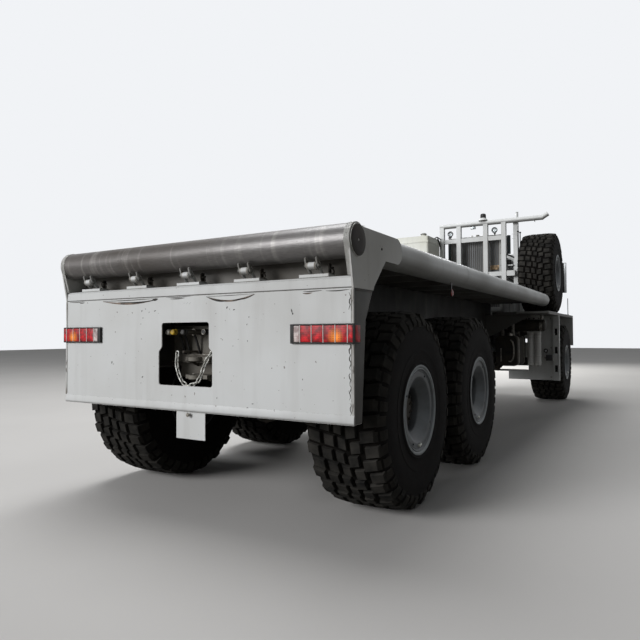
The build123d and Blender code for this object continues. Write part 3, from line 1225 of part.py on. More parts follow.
def cab_panels():
    """The cab's floor, back, front, sides and roof, cut apart where the real panels meet."""
    outer = cab_solid()
    inner = along_x(cab_side_outline(CAB_WALL), -CAB_HALF + CAB_WALL, CAB_HALF - CAB_WALL)
    inner -= block(-CAB_HALF, CAB_HALF, CAB_Y, CAB_FRONT_Y, CAB_FASCIA_Z - 5, CAB_FLOOR_Z + CAB_WALL)
    shell = outer - inner
    shell -= block(-CAB_HALF + CAB_WALL, CAB_HALF - CAB_WALL, PLATFORM_END_Y - 5, CAB_FRONT_Y - CAB_WALL,
                   CAB_FASCIA_Z - 5, CAB_FLOOR_Z)
    for cut in (door_box(MOVING_GAP, CAB_WALL + 5), quarter_window(CAB_HALF - CAB_WALL - 5, CAB_HALF + 5)):
        shell -= cut
        shell -= mirror(cut, Plane.YZ)
    shell -= back_window(CAB_Y - 5, CAB_Y + CAB_WALL + 5)
    shell -= screen_cutter()
    floor_top = CAB_FLOOR_Z + CAB_WALL
    roof_bottom = CAB_ROOF_Z - CAB_WALL
    front_y = CAB_FRONT_Y - CAB_SCREEN_LEAN - CAB_WALL - 100
    back_y = CAB_Y + CAB_WALL
    big = CAB_HALF + 10
    roof_box = block(-big, big, CAB_Y - 10, CAB_FRONT_Y + 10, roof_bottom, CAB_ROOF_Z + 10)
    floor_box = block(-big, big, CAB_Y - 10, front_y, CAB_FLOOR_Z - 10, floor_top)
    front_box = block(-big, big, front_y, CAB_FRONT_Y + 10, CAB_FASCIA_Z - 10, roof_bottom)
    back_box = block(-big, big, CAB_Y - 10, back_y, floor_top, roof_bottom)
    side_box = block(0, big, back_y, front_y, floor_top, roof_bottom)
    side = shell & side_box
    return {
        "cab_roof": shell & roof_box,
        "cab_floor": shell & floor_box,
        "cab_front": shell & front_box,
        "cab_back": shell & back_box,
        "cab_sides": both_sides(side),
    }


def cab_glass():
    """Windscreen, rear window and the two quarter windows."""
    skin = along_x(cab_side_outline(15), -CAB_HALF + 15, CAB_HALF - 15)
    skin -= along_x(cab_side_outline(15 + GLASS_THICK), -CAB_HALF, CAB_HALF)
    screen = skin & screen_cutter(-SEAT_GAP)
    back_y = CAB_Y + CAB_WALL / 2
    back = back_window(back_y, back_y + GLASS_THICK, -SEAT_GAP)
    x = CAB_HALF - CAB_WALL / 2
    quarter = quarter_window(x - GLASS_THICK, x, -SEAT_GAP)
    return group(screen, back, both_sides(quarter))


def door():
    """Right door with its window cut and the barrels of its two hinges."""
    panel = door_box(0, CAB_WALL) & block(0, CAB_HALF, CAB_Y, CAB_FRONT_Y, CAB_FLOOR_Z, CAB_ROOF_Z)
    panel -= door_window(CAB_HALF - CAB_WALL - 5, CAB_HALF + 5)
    axis_x = CAB_HALF + HINGE_OUT
    axis_y = hinge_y()
    for z in hinge_heights():
        z0 = z - HINGE_BARREL_LENGTH / 2
        z1 = z + HINGE_BARREL_LENGTH / 2
        leaf = block(CAB_HALF, axis_x - 6, axis_y - 90, axis_y, z0, z1)
        barrel = rod((axis_x, axis_y, z0), (axis_x, axis_y, z1), HINGE_BARREL_R)
        panel += leaf + barrel
        panel -= rod((axis_x, axis_y, z0 - 1), (axis_x, axis_y, z1 + 1), HINGE_PIN_R + RUNNING_FIT)
    return panel


def hinge_y():
    """Station of the door hinges' axis, over the gap ahead of the door."""
    return CAB_FRONT_Y - DOOR_FROM_FRONT + MOVING_GAP / 2


def hinge_heights():
    """Heights of the two hinges, both below the window."""
    return (DOOR_Z + HINGE_LOWEST, DOOR_Z + HINGE_LOWEST + HINGE_SPACING)


def hinge_pins():
    """Fixed pins with a foot above and below each barrel, held to the cab ahead of the door."""
    axis_x = CAB_HALF + HINGE_OUT
    axis_y = hinge_y()
    pieces = None
    for z in hinge_heights():
        low = z - HINGE_BARREL_LENGTH / 2
        high = z + HINGE_BARREL_LENGTH / 2
        pin = rod((axis_x, axis_y, low - HINGE_FOOT_LENGTH), (axis_x, axis_y, high + HINGE_FOOT_LENGTH), HINGE_PIN_R)
        for z0, z1 in ((low - HINGE_FOOT_LENGTH, low - 2), (high + 2, high + HINGE_FOOT_LENGTH)):
            pin += rod((axis_x, axis_y, z0), (axis_x, axis_y, z1), HINGE_BARREL_R)
            pin += block(CAB_HALF, axis_x + 4, axis_y, axis_y + 70, z0, z1)
        pieces = pin if pieces is None else pieces + pin
    return pieces


def door_glass():
    """Pane of the right door."""
    x = CAB_HALF - CAB_WALL / 2
    return door_window(x - GLASS_THICK, x, -SEAT_GAP)


def cab_interior():
    """Two seats on pedestals, the dashboard and the steering column with its wheel."""
    floor = CAB_FLOOR_Z + CAB_WALL
    rear = CAB_Y + CAB_WALL + SEAT_FROM_WALL
    front = rear + SEAT_LENGTH
    pad_low = floor + SEAT_BASE_HEIGHT
    pad_high = pad_low + SEAT_PAD
    back_high = pad_high + SEAT_BACK_HEIGHT
    pieces = []
    for x in (-SEAT_X, SEAT_X):
        seat = block(x - SEAT_BASE_HALF, x + SEAT_BASE_HALF, rear + 80, front - 60, floor, pad_low)
        cushion = block(x - SEAT_HALF, x + SEAT_HALF, rear, front, pad_low, pad_high)
        cushion = fillet(cushion.edges().filter_by(Axis.Z), SEAT_CORNER_R)
        foot = rear + 30
        head = foot - SEAT_BACK_LEAN
        back = along_x([(foot, pad_high), (foot + SEAT_BACK_THICK, pad_high), (head + SEAT_BACK_THICK, back_high),
                        (head, back_high)], x - SEAT_BACK_HALF, x + SEAT_BACK_HALF)
        pieces.append(seat + cushion + back)
    dash_y = CAB_FRONT_Y - CAB_WALL - SEAT_GAP
    inside = CAB_HALF - CAB_WALL - CAB_CORNER_R
    dash_top = floor + DASH_TOP
    outline = [
        (dash_y, floor + DASH_LOW), (dash_y - DASH_FOOT, floor + DASH_LOW + 50), (dash_y - DASH_DEPTH, dash_top - 40),
        (dash_y - DASH_DEPTH + 70, dash_top), (dash_y, dash_top - 60),
    ]
    dash = along_x(outline, -inside, inside)
    pieces.append(dash)
    wheel_centre = (-SEAT_X, dash_y - STEER_FROM_DASH, floor + STEER_HEIGHT)
    tilt = Plane(origin=wheel_centre, z_dir=(0, -0.6, 0.8))
    ring = Circle(STEER_WHEEL_R + STEER_GRIP_R) - Circle(STEER_WHEEL_R - STEER_GRIP_R)
    grip = extrude(tilt * ring, STEER_GRIP_R, both=True)
    wheel = grip + tilt * Cylinder(STEER_HUB_R, 50)
    for angle in (0, 120, 240):
        half = STEER_SPOKE_WIDTH / 2
        wheel += tilt * Rot(0, 0, angle) * block(0, STEER_WHEEL_R, -half, half, -8, 8)
    column_end = (-SEAT_X, dash_y - DASH_FOOT, floor + DASH_LOW + 150)
    column = rod(wheel_centre, column_end, STEER_COLUMN_R) - dash
    pieces.append(wheel + column)
    return group(*pieces)


# Front end

def bumper():
    """Deep bumper beam with cut-back corners, lamp pockets, rail brackets and towing eyes."""
    y0 = BUMPER_Y
    y1 = BUMPER_FRONT_Y - TOW_EYE_REACH
    top = BUMPER_Z + BUMPER_HEIGHT
    outline = [
        (-BUMPER_HALF, y0), (BUMPER_HALF, y0), (BUMPER_HALF, y1 - BUMPER_CORNER / 2),
        (BUMPER_HALF - BUMPER_CORNER, y1), (BUMPER_CORNER - BUMPER_HALF, y1), (-BUMPER_HALF, y1 - BUMPER_CORNER / 2),
    ]
    beam = along_z(outline, BUMPER_Z, top)
    for side in (-1, 1):
        x = side * HEADLAMP_X
        middle = (BUMPER_Z + top) / 2
        beam -= block(x - HEADLAMP_WIDTH / 2, x + HEADLAMP_WIDTH / 2, y1 - HEADLAMP_POCKET, y1 + 5,
                      middle - HEADLAMP_HEIGHT / 2, middle + HEADLAMP_HEIGHT / 2)
        x0 = side * (RAIL_X - RAIL_FLANGE)
        x1 = side * RAIL_X
        beam += block(x0, x1, RAIL_END_Y, y0, RAIL_Z - 60, top)
        eye_x = side * TOW_EYE_X
        eye_y = y1 + TOW_EYE_REACH / 2
        for z in (middle - TOW_EYE_SPREAD, middle + TOW_EYE_SPREAD - TOW_EYE_THICK):
            plate = block(eye_x - TOW_EYE_HALF, eye_x + TOW_EYE_HALF, y1, eye_y, z, z + TOW_EYE_THICK)
            plate += rod((eye_x, eye_y, z), (eye_x, eye_y, z + TOW_EYE_THICK), TOW_EYE_REACH / 2)
            plate -= rod((eye_x, eye_y, z - 1), (eye_x, eye_y, z + TOW_EYE_THICK + 1), TOW_EYE_R)
            beam += plate
    return beam


def front_lamps():
    """Headlamp units seated in the bumper's pockets."""
    middle = BUMPER_Z + BUMPER_HEIGHT / 2
    y1 = BUMPER_FRONT_Y - TOW_EYE_REACH
    gap = 3.0
    width = HEADLAMP_WIDTH / 2 - gap
    height = HEADLAMP_HEIGHT / 2 - gap
    lamp = block(HEADLAMP_X - width, HEADLAMP_X + width, y1 - HEADLAMP_POCKET, y1 + 6, middle - height, middle + height)
    return both_sides(lamp)


def front_grille():
    """Framed grille of horizontal bars on the cab's lower front."""
    y0 = CAB_FRONT_Y
    y1 = y0 + 18
    top = GRILLE_Z + GRILLE_HEIGHT
    frame = block(-GRILLE_HALF, GRILLE_HALF, y0, y1, GRILLE_Z, top)
    pitch = GRILLE_HEIGHT / GRILLE_BARS
    for index in range(GRILLE_BARS):
        z = GRILLE_Z + pitch * index + 22
        frame -= block(40 - GRILLE_HALF, GRILLE_HALF - 40, y0 + 4, y1 + 1, z, z + pitch - 44)
    return frame


def mirrors():
    """Tall outside mirrors on two arms each."""
    x0 = MIRROR_X - MIRROR_WIDTH / 2
    y0 = CAB_FRONT_Y - DOOR_FROM_FRONT - 10
    head = block(x0, x0 + MIRROR_WIDTH, y0, y0 + MIRROR_DEPTH, MIRROR_Z, MIRROR_Z + MIRROR_HEIGHT)
    head = fillet(head.edges().filter_by(Axis.Z), 20)
    foot_y = CAB_FRONT_Y - CAB_SCREEN_LEAN - 130
    for z in (MIRROR_Z + 60, MIRROR_Z + MIRROR_HEIGHT - 60):
        elbow = (MIRROR_X, y0 + MIRROR_DEPTH / 2 + 60, z)
        head += rod((CAB_HALF, foot_y, z), elbow, MIRROR_ARM_R)
        head += rod(elbow, (MIRROR_X, y0 + MIRROR_DEPTH / 2, z), MIRROR_ARM_R)
    head &= block(CAB_HALF, CAB_HALF + 1000, y0 - 200, CAB_FRONT_Y, 0, CAB_ROOF_Z)
    return both_sides(head)


def build():
    """Every node of the truck by name."""
    road_tyre = tyre()
    nodes = {
        "frame_rails": frame_rails(),
        "cross_members": cross_members(),
        "tail_plate": tail_plate(),
        "tail_side_plates": both_sides(side_plate()),
        "tail_beam": tail_beam(),
        "tail_roller": tail_roller(),
        "deck_rails": deck_rails(),
        "deck": deck(),
        "tail_lamps": tail_lamps(),
        "tow_coupling": tow_coupling(),
        "safety_chain": safety_chain(),
        "guard_frame": guard_frame(),
        "spare_carrier": spare_carrier(),
        "guard_lamps": guard_lamps(),
        "radiator": radiator(),
        "engine_hood": engine_hood(),
        "power_block": power_block(),
        "deck_tank": deck_tank(),
        "winch_frame": winch_frame(),
        "winch_drum": winch_drum(),
        "platforms": platforms(),
        "arch_panels": arch_panels(),
        "side_tanks": side_tanks(),
        "leaf_springs": leaf_springs(),
        "propshafts": propshafts(),
        "tie_rod": tie_rod(),
        "cab_glass": cab_glass(),
        "cab_interior": cab_interior(),
        "bumper": bumper(),
        "front_lamps": front_lamps(),
        "front_grille": front_grille(),
        "mirrors": mirrors(),
        "spare_tyre": Pos(SPARE_X, SPARE_Y, SPARE_Z) * road_tyre,
        "spare_rim": rim((SPARE_X, SPARE_Y, SPARE_Z), 1, spare=True),
    }
    housings = [
        axle_housing(REAR_AXLE_Y, 1, AXLE_TUBE_HALF, True),
        axle_housing(MIDDLE_AXLE_Y, 1, AXLE_TUBE_HALF, True),
        axle_housing(FRONT_AXLE_Y, -1, KINGPIN_X - KINGPIN_R - 5, False),
    ]
    nodes["axle_housings"] = group(*housings)
    panels = cab_panels()
    pins = hinge_pins()
    panels["cab_sides"] = panels["cab_sides"] + pins + mirror(pins, Plane.YZ)
    nodes.update(panels)
    right_door = door()
    right_pane = door_glass()
    for name, side in SIDES:
        nodes[f"knuckle_{name}"] = knuckle(side)
        nodes[f"door_{name}"] = right_door if side > 0 else mirror(right_door, Plane.YZ)
        nodes[f"door_glass_{name}"] = right_pane if side > 0 else mirror(right_pane, Plane.YZ)
        for axle, y in AXLES:
            centre = (side * TRACK / 2, y, HUB_Z)
            nodes[f"tyre_{axle}_{name}"] = Pos(*centre) * Rot(0, 0, 0 if side > 0 else 180) * road_tyre
            nodes[f"rim_{axle}_{name}"] = rim(centre, side)
    return nodes


os.makedirs("parts", exist_ok=True)
for node, shape in build().items():
    solids = [solid.moved(Location((0, -MIDDLE_Y, 0))) for solid in shape.solids()]
    export_step(solids[0] if len(solids) == 1 else Compound(solids), f"parts/{node}.step")
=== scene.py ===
"""Visual model of a six-wheel-drive oilfield tractor truck with a flat deck and a tail roller.

Lengths are millimetres across (X), forward of the tail plate (Y) and up from the road (Z),
as on a workshop drawing, and become metres in the frame when a piece is finished.
"""
import bmesh
import bpy
import math
from mathutils import Matrix, Vector


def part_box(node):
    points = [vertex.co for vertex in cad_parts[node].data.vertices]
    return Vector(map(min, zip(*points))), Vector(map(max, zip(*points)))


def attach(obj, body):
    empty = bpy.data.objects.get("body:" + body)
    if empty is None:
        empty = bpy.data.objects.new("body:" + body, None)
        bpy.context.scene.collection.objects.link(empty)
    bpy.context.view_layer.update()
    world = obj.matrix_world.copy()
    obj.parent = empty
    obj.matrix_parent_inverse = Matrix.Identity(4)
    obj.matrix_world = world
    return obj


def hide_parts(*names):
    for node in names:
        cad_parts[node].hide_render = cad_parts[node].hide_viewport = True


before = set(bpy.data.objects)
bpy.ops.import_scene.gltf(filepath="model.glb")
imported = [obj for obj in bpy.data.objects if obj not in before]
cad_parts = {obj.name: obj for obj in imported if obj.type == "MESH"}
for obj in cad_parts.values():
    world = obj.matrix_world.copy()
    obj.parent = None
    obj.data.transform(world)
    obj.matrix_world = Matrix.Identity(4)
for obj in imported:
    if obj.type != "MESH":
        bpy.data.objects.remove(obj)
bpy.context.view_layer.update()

MM = 0.001
TAIL_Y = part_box("tail_plate")[0].y
SIDES = (("left", -1), ("right", 1))
RIGHT, AHEAD, BACK, UP = (1, 0, 0), (0, 1, 0), (0, -1, 0), (0, 0, 1)


def station(x, y, z):
    """Point in the frame from millimetres across, forward of the tail plate and up."""
    return Vector((x * MM, TAIL_Y + y * MM, z * MM))


# Sizes shared with the CAD part
HUB_Z = 920
REAR_AXLE_Y, MIDDLE_AXLE_Y, FRONT_AXLE_Y = 1237, 3316, 11371
TRACK_HALF = 1384
BODY_HALF = 1693
ROLLER_Y, ROLLER_Z = 68, 2346.5
DECK_Z = 2450
RAIL_X, RAIL_Z = 1540.2, 2350
GUARD_Y = 9400
WINCH_Y, WINCH_Z = 8250, 2655
TANK_BACK_Y, TANK_FRONT_Y = 8500, 9340
RADIATOR_Y = 9600
SPARE_X, SPARE_Y, SPARE_Z = 1375, 10180, 3005.3
PLATFORM_TOP_Z = 2085
DOOR_BACK_Y, DOOR_FRONT_Y = 11561, 12461
LAMP_FACE_Y, LAMP_Z = 13106, 1130


# Colours and materials

def linear(colour):
    """Linear RGBA from an sRGB hex colour."""
    channels = [int(colour[i:i + 2], 16) / 255 for i in (1, 3, 5)]
    return [c / 12.92 if c <= 0.04045 else ((c + 0.055) / 1.055) ** 2.4 for c in channels] + [1.0]


def per_mm(size):
    """Texture scale, in metres of object space, for a pattern that repeats in so many millimetres."""
    return 1 / (size * MM)


def add(tree, kind, inputs=None, **settings):
    """Adds one node with its settings; each input is set, or linked where it is a socket."""
    node = tree.nodes.new(kind)
    for name, value in settings.items():
        setattr(node, name, value)
    for name, value in (inputs or {}).items():
        if isinstance(value, bpy.types.NodeSocket):
            tree.links.new(value, node.inputs[name])
        else:
            node.inputs[name].default_value = value
    return node


class Finish:
    """A material in the making: its nodes, its shader and the colour laid on it so far."""

    def __init__(self, name, colour, **constants):
        self.material = bpy.data.materials.new(name)
        self.material.use_nodes = True
        self.tree = self.material.node_tree
        self.tree.nodes.clear()
        self.shader = add(self.tree, "ShaderNodeBsdfPrincipled")
        for key, value in constants.items():
            self.shader.inputs[key.replace("_", " ")].default_value = value
        output = add(self.tree, "ShaderNodeOutputMaterial", {"Surface": self.shader.outputs[0]})
        output.is_active_output = True
        self.place = self.made("ShaderNodeTexCoord", output="Object")
        self.base = colour

    def made(self, kind, inputs=None, output=0, **settings):
        """One output of a node added to this material."""
        return add(self.tree, kind, inputs, **settings).outputs[output]

    def link(self, name, socket):
        """Gives an input of the shader to a socket."""
        self.tree.links.new(socket, self.shader.inputs[name])

    def blotches(self, size, low, high, detail=4.0, stretch=None):
        """Noise of a real size in millimetres, turned to a mask between two levels."""
        place = self.place
        if stretch:
            place = self.made("ShaderNodeMapping", {"Vector": place, "Scale": stretch})
        noise = self.made("ShaderNodeTexNoise", {"Vector": place, "Scale": per_mm(size), "Detail": detail})
        return self.made("ShaderNodeMapRange", {"Value": noise, "From Min": low, "From Max": high})

    def ribs(self, width, direction, place=None):
        """Even ribs, so many millimetres apart along an axis."""
        place = self.place if place is None else place
        scale = per_mm(width) / math.tau
        wave = {"Vector": place, "Scale": scale}
        return self.made("ShaderNodeTexWave", wave, "Fac", bands_direction=direction)

    def together(self, *masks):
        """Mask that is bright where all of the masks are; a plain number is a mask too."""
        shared = masks[0]
        for mask in masks[1:]:
            shared = self.made("ShaderNodeMath", {0: shared, 1: mask}, operation="MULTIPLY")
        return shared

    def lay(self, colour, *masks):
        """Lays a hex colour over what is there, where all of the masks are bright."""
        below = self.base if isinstance(self.base, bpy.types.NodeSocket) else linear(self.base)
        colours = {0: self.together(*masks), 6: below, 7: linear(colour)}
        self.base = self.made("ShaderNodeMix", colours, 2, data_type="RGBA")

    def upward(self, low, high):
        """Mask of how far the surface looks up, between two heights of its normal."""
        normal = self.made("ShaderNodeNewGeometry", output="Normal")
        height = self.made("ShaderNodeSeparateXYZ", {0: normal}, "Z")
        return self.made("ShaderNodeMapRange", {"Value": height, "From Min": low, "From Max": high})

    def worn_edges(self, radius):
        """Mask of sharp outer edges, from how far a rounded normal turns away from the true one."""
        bevel = self.made("ShaderNodeBevel", {"Radius": radius * MM}, samples=4)
        normal = self.made("ShaderNodeNewGeometry", output="Normal")
        agree = self.made("ShaderNodeVectorMath", {0: bevel, 1: normal}, "Value", operation="DOT_PRODUCT")
        return self.made("ShaderNodeMapRange", {"Value": agree, "From Min": 0.97, "From Max": 0.72})

    def crevices(self, reach):
        """Mask of corners and gaps, from the surface's ambient occlusion."""
        open_sky = self.made("ShaderNodeAmbientOcclusion", {"Distance": reach * MM}, "AO", samples=4)
        return self.made("ShaderNodeMapRange", {"Value": open_sky, "From Min": 0.75, "From Max": 0.25})

    def near(self, spot, low, high):
        """Mask of what lies by a station in millimetres, on either side of the truck: 1 within the
        low distance and 0 past the high one."""
        side = self.made("ShaderNodeVectorMath", {0: self.place}, operation="ABSOLUTE")
        middle = self.made("ShaderNodeVectorMath", {0: self.place, 1: (0, 1, 1)}, operation="MULTIPLY")
        folded = self.made("ShaderNodeVectorMath", {0: side, 1: RIGHT, 2: middle}, operation="MULTIPLY_ADD")
        gap = self.made("ShaderNodeVectorMath", {0: folded, 1: station(*spot)}, "Value", operation="DISTANCE")
        return self.made("ShaderNodeMapRange", {"Value": gap, "From Min": high * MM, "From Max": low * MM})

    def done(self, height=None, depth=0.0):
        """The finished material, its surface raised by a height mask by so many millimetres at most."""
        self.link("Base Color", self.base)
        if height is not None:
            bump = {"Height": height, "Distance": depth * MM, "Strength": 1.0}
            self.link("Normal", self.made("ShaderNodeBump", bump))
        return self.material


def enamel(name, colour, shade, grime_and_shade=0.5, wear=0.5, roughness=0.42):
    """Brushed and sprayed alkyd enamel on rolled steel plate: a soft uneven sheen, dusty mottling,
    patchy darkening in corners and gaps, painted shade on faces that look down, rain streaks,
    and rust-brown steel where edges are chipped."""
    skin = Finish(name, colour, IOR=1.5, Specular_IOR_Level=0.25)
    cloud = skin.blotches(900, 0.38, 0.66)
    skin.lay(shade, cloud)
    skin.lay("#6F675C", skin.blotches(120, 0.52, 0.78, detail=6, stretch=(1, 1, 0.10)), 0.34 * grime_and_shade)
    # Darker in patches in corners and gaps, where the occlusion mask is high.
    skin.lay("#4C463D", skin.crevices(140), skin.blotches(220, 0.25, 0.60), grime_and_shade)
    # Painted shade: faces that look down are laid darker, for the shade that falls under parts.
    skin.lay("#3A3731", skin.upward(-0.05, -0.6), min(1.5 * grime_and_shade, 0.9))
    skin.lay("#5A3F2E", skin.worn_edges(7), skin.blotches(34, 0.50, 0.56, detail=8), wear)
    skin.lay("#5E5348", skin.blotches(28, 0.735, 0.75, detail=2), wear)
    rough = {"Value": cloud, "To Min": roughness, "To Max": roughness + 0.18}
    skin.link("Roughness", skin.made("ShaderNodeMapRange", rough))
    brushed = skin.blotches(260, 0.2, 0.8, detail=3)
    peel = skin.blotches(5, 0.3, 0.7, detail=2)
    height = skin.made("ShaderNodeMath", {0: peel, 1: 0.12, 2: brushed}, operation="MULTIPLY_ADD")
    return skin.done(height, 1.2)


def scuffed_enamel(name, colour, scrape):
    """The same enamel where loads rub past it: long dark scrapes and bare grey-brown patches."""
    skin = Finish(name, colour, IOR=1.5, Roughness=0.5, Specular_IOR_Level=0.25)
    patch = skin.blotches(170, 0.50, 0.60, detail=9, stretch=(1, 1, 0.35))
    skin.lay("#A9A8A3", skin.blotches(500, 0.35, 0.65))
    skin.lay(scrape, patch, 0.85)
    skin.lay("#3C332B", skin.blotches(22, 0.56, 0.62, detail=8, stretch=(1, 1, 0.25)), 0.7)
    return skin.done(patch, 1.5)


def rolled_steel(name, stretch, polished, tarnish, metallic=0.85):
    """Bare mild steel, turned and then rubbed bright by skids: fine lines round it, brown tarnish
    in long patches, dark knocks and a metal's tinted gloss."""
    skin = Finish(name, polished, Metallic=metallic)
    film = skin.blotches(420, 0.38, 0.66, detail=6, stretch=stretch)
    fine = skin.blotches(9, 0.35, 0.68, detail=3, stretch=stretch)
    skin.lay(tarnish, film)
    skin.lay("#B5B2AC", skin.blotches(60, 0.55, 0.75, detail=5, stretch=(1, 0.06, 0.06)), 0.35)
    skin.lay("#2F2A25", fine, 0.30)
    skin.lay("#2A2622", skin.blotches(38, 0.70, 0.73, detail=5), 0.6)
    skin.link("Roughness", skin.made("ShaderNodeMapRange", {"Value": film, "To Min": 0.36, "To Max": 0.60}))
    return skin.done(fine, 0.25)


def vulcanised_rubber(name, colour, dust, dusty, grain=6):
    """Carbon-black tyre rubber, moulded and road-worn: matt, with grey-brown dust that lies in
    patches and a fine pebbled skin."""
    skin = Finish(name, colour, IOR=1.52, Roughness=0.9, Specular_IOR_Level=0.08)
    skin.lay(dust, skin.blotches(130, 0.30, 0.72, detail=6), dusty)
    return skin.done(skin.blotches(grain, 0.3, 0.7), 0.8)


def wheel_silver(name):
    """Aluminium-flake stove enamel on a pressed steel rim: satin silver-grey on the outer flange,
    dark in the dish: the hub's dark paint with painted shade of the deep recess over it, and darker in
    corners and gaps."""
    skin = Finish(name, "#7D8385", Metallic=0.2, Roughness=0.48, Specular_IOR_Level=0.3)
    skin.lay("#4E4C48", skin.blotches(90, 0.35, 0.70, detail=6), 0.45)
    across = skin.made("ShaderNodeSeparateXYZ", {0: skin.place}, "X")
    wheel_plane = skin.made("ShaderNodeVectorMath", {0: skin.place, 1: (0, 1, 1)}, operation="MULTIPLY")
    radius = skin.made("ShaderNodeVectorMath", {0: wheel_plane}, "Value", operation="LENGTH")
    inside, past_ring, deep = (
        skin.made("ShaderNodeMapRange", {"Value": value, "From Min": low, "From Max": high})
        for value, low, high in ((radius, 0.384, 0.372), (across, 0.357, 0.345), (across, 0.30, 0.10)))
    # Painted shade: darker inside the flange ring and darkest deep in the dish, for the shade in the recess,
    # over the hub's dark paint.
    skin.lay("#333538", inside, 0.68)
    skin.lay("#1D1D1D", deep, past_ring, 0.85)
    # Darker in corners and gaps, where the occlusion mask is high.
    skin.lay("#1D1B18", skin.crevices(70))
    return skin.done(skin.blotches(12, 0.3, 0.7), 0.2)


def lamp_lens(name, colour, deep, bulbs, second=None, spots=()):
    """Moulded acrylic lens: clear gloss over ribbed prisms about 9 mm wide, brighter low down by
    each bulb, and in one stretch a second colour."""
    skin = Finish(name, colour, IOR=1.49, Roughness=0.42, Specular_IOR_Level=0.25)
    skin.lay(deep, skin.blotches(40, 0.40, 0.62, detail=1))
    for spot in spots:
        skin.lay(second, skin.near(spot, 22, 74))
    rings = skin.ribs(9, "Z")
    skin.lay(deep, rings, skin.ribs(12, "X"), 0.5)
    glow = 0.0
    for spot in bulbs:
        glow = skin.made("ShaderNodeMath", {0: glow, 1: skin.near(spot, 4, 44)}, operation="MAXIMUM")
    bright = skin.made("ShaderNodeMapRange", {"Value": glow, "To Min": 0.05, "To Max": 0.55})
    skin.link("Emission Strength", bright)
    skin.link("Emission Color", skin.base)
    return skin.done(rings, 0.25)


def black_plastic(name, colour="#161617", roughness=0.5):
    """Injection-moulded plastic, most of it black, with dirt in a fine leather-like grain of about 4 mm."""
    skin = Finish(name, colour, IOR=1.5, Roughness=roughness, Specular_IOR_Level=0.3)
    skin.lay("#2A2926", skin.blotches(60, 0.40, 0.70))
    return skin.done(skin.blotches(4, 0.35, 0.65), 0.15)


def zinc_plate(name, bright, dull):
    """Zinc-plated steel, dipped: bluish bright metal gone chalky and dull with weather."""
    skin = Finish(name, bright, Metallic=0.8, Roughness=0.42)
    skin.lay(dull, skin.blotches(30, 0.35, 0.65))
    return skin.done(skin.blotches(8, 0.3, 0.7), 0.15)


def cast_iron(name, colour, dust):
    """Cast iron under black chassis paint: a coarse sand-cast skin with road dust on it."""
    skin = Finish(name, colour, Metallic=0.05, Roughness=0.7, Specular_IOR_Level=0.2)
    skin.lay(dust, skin.blotches(180, 0.35, 0.70, detail=6), 0.75)
    return skin.done(skin.blotches(7, 0.25, 0.75), 0.7)


def float_glass(name, tint="#2B4247"):
    """Tinted flat glass: dark green-blue, mirror smooth, with a thin film of dust."""
    skin = Finish(name, tint, IOR=1.52, Roughness=0.03, Transmission_Weight=0.85)
    skin.lay("#6B6A60", skin.blotches(240, 0.45, 0.75), 0.15)
    return skin.done()


def woven_cloth(name, colour, thread):
    """Woven polyester seat cloth: a plain weave drawn at 5 mm, coarser than life so that it shows."""
    skin = Finish(name, colour, Roughness=0.9, Sheen_Weight=0.3)
    weave = skin.together(skin.ribs(5, "X"), skin.ribs(5, "Z"))
    skin.lay(thread, weave)
    return skin.done(weave, 0.6)


def radiator_fins(name):
    """Painted copper fins with dust between them: close upright lines about 12 mm apart."""
    skin = Finish(name, "#464A4C", Metallic=0.2, Roughness=0.6)
    fins = skin.ribs(12, "X")
    skin.lay("#9DA1A4", fins)
    skin.lay("#5B5C5B", skin.blotches(300, 0.35, 0.7, stretch=(1, 1, 0.2)), 0.5)
    return skin.done(fins, 3)


def tread_plate(name, colour, shade):
    """Hot-rolled chequer plate under grey enamel: raised slanted ribs 30 mm apart, rubbed bare on
    top, which show on the faces that look up, and darker in corners and gaps."""
    skin = Finish(name, colour, Metallic=0.05, Roughness=0.6, Specular_IOR_Level=0.25)
    crests = []
    for sign in (1, -1):
        slant = {"Vector": skin.place, "Rotation": (0, 0, sign * math.pi / 4)}
        wave = skin.ribs(30, "X", skin.made("ShaderNodeMapping", slant))
        crests.append(skin.made("ShaderNodeMapRange", {"Value": wave, "From Min": 0.62, "From Max": 0.80}))
    lines = skin.made("ShaderNodeMath", dict(enumerate(crests)), operation="SUBTRACT", use_clamp=True)
    ribs = skin.together(lines, skin.upward(0.8, 0.95))
    skin.lay(shade, skin.blotches(600, 0.38, 0.66, detail=7))
    skin.lay("#8C8A85", ribs, skin.blotches(260, 0.42, 0.62, detail=6), 0.7)
    skin.lay("#5A4638", skin.worn_edges(5), skin.blotches(40, 0.48, 0.58, detail=8))
    # Darker in corners and gaps, where the occlusion mask is high.
    skin.lay("#2A2723", skin.crevices(120), 0.6)
    return skin.done(ribs, 2.0)


WHITE = enamel("grey_white_enamel", "#CBCDCB", "#C3C4C1", grime_and_shade=0.42, wear=0.8)
# Painted light: a paler copy of the white enamel on the cheek plates, for the light they catch.
LIT_CHEEK_WHITE = enamel("painted_light_cheek_enamel", "#D4D4D0", "#C4C4BF", grime_and_shade=0.6, wear=0.7)
SCUFFED = scuffed_enamel("scuffed_white_enamel", "#C4C5C1", "#7B766D")
# Painted shade: a dark grey copy of the white enamel for the lower cheek flanges, which sit in shade.
SHADED_FLANGE_GREY = enamel("painted_shade_flange_enamel", "#474643", "#3C3B38", grime_and_shade=0.9, wear=0.6, roughness=0.5)
FRAME_GREY = enamel("chassis_grey_enamel", "#1D1D1B", "#141412", grime_and_shade=0.5, wear=0.4, roughness=0.6)
COUPLING_GREY = enamel("coupling_grey_enamel", "#7B786F", "#605D56", grime_and_shade=0.8, wear=0.5, roughness=0.6)
# Painted shade and dust: a darker, dustier copy of the white enamel for parts that sit in shade.
SHADE_WHITE = enamel("dust_and_shade_white_enamel", "#A9ABA8", "#92928D", grime_and_shade=0.9, wear=0.8)
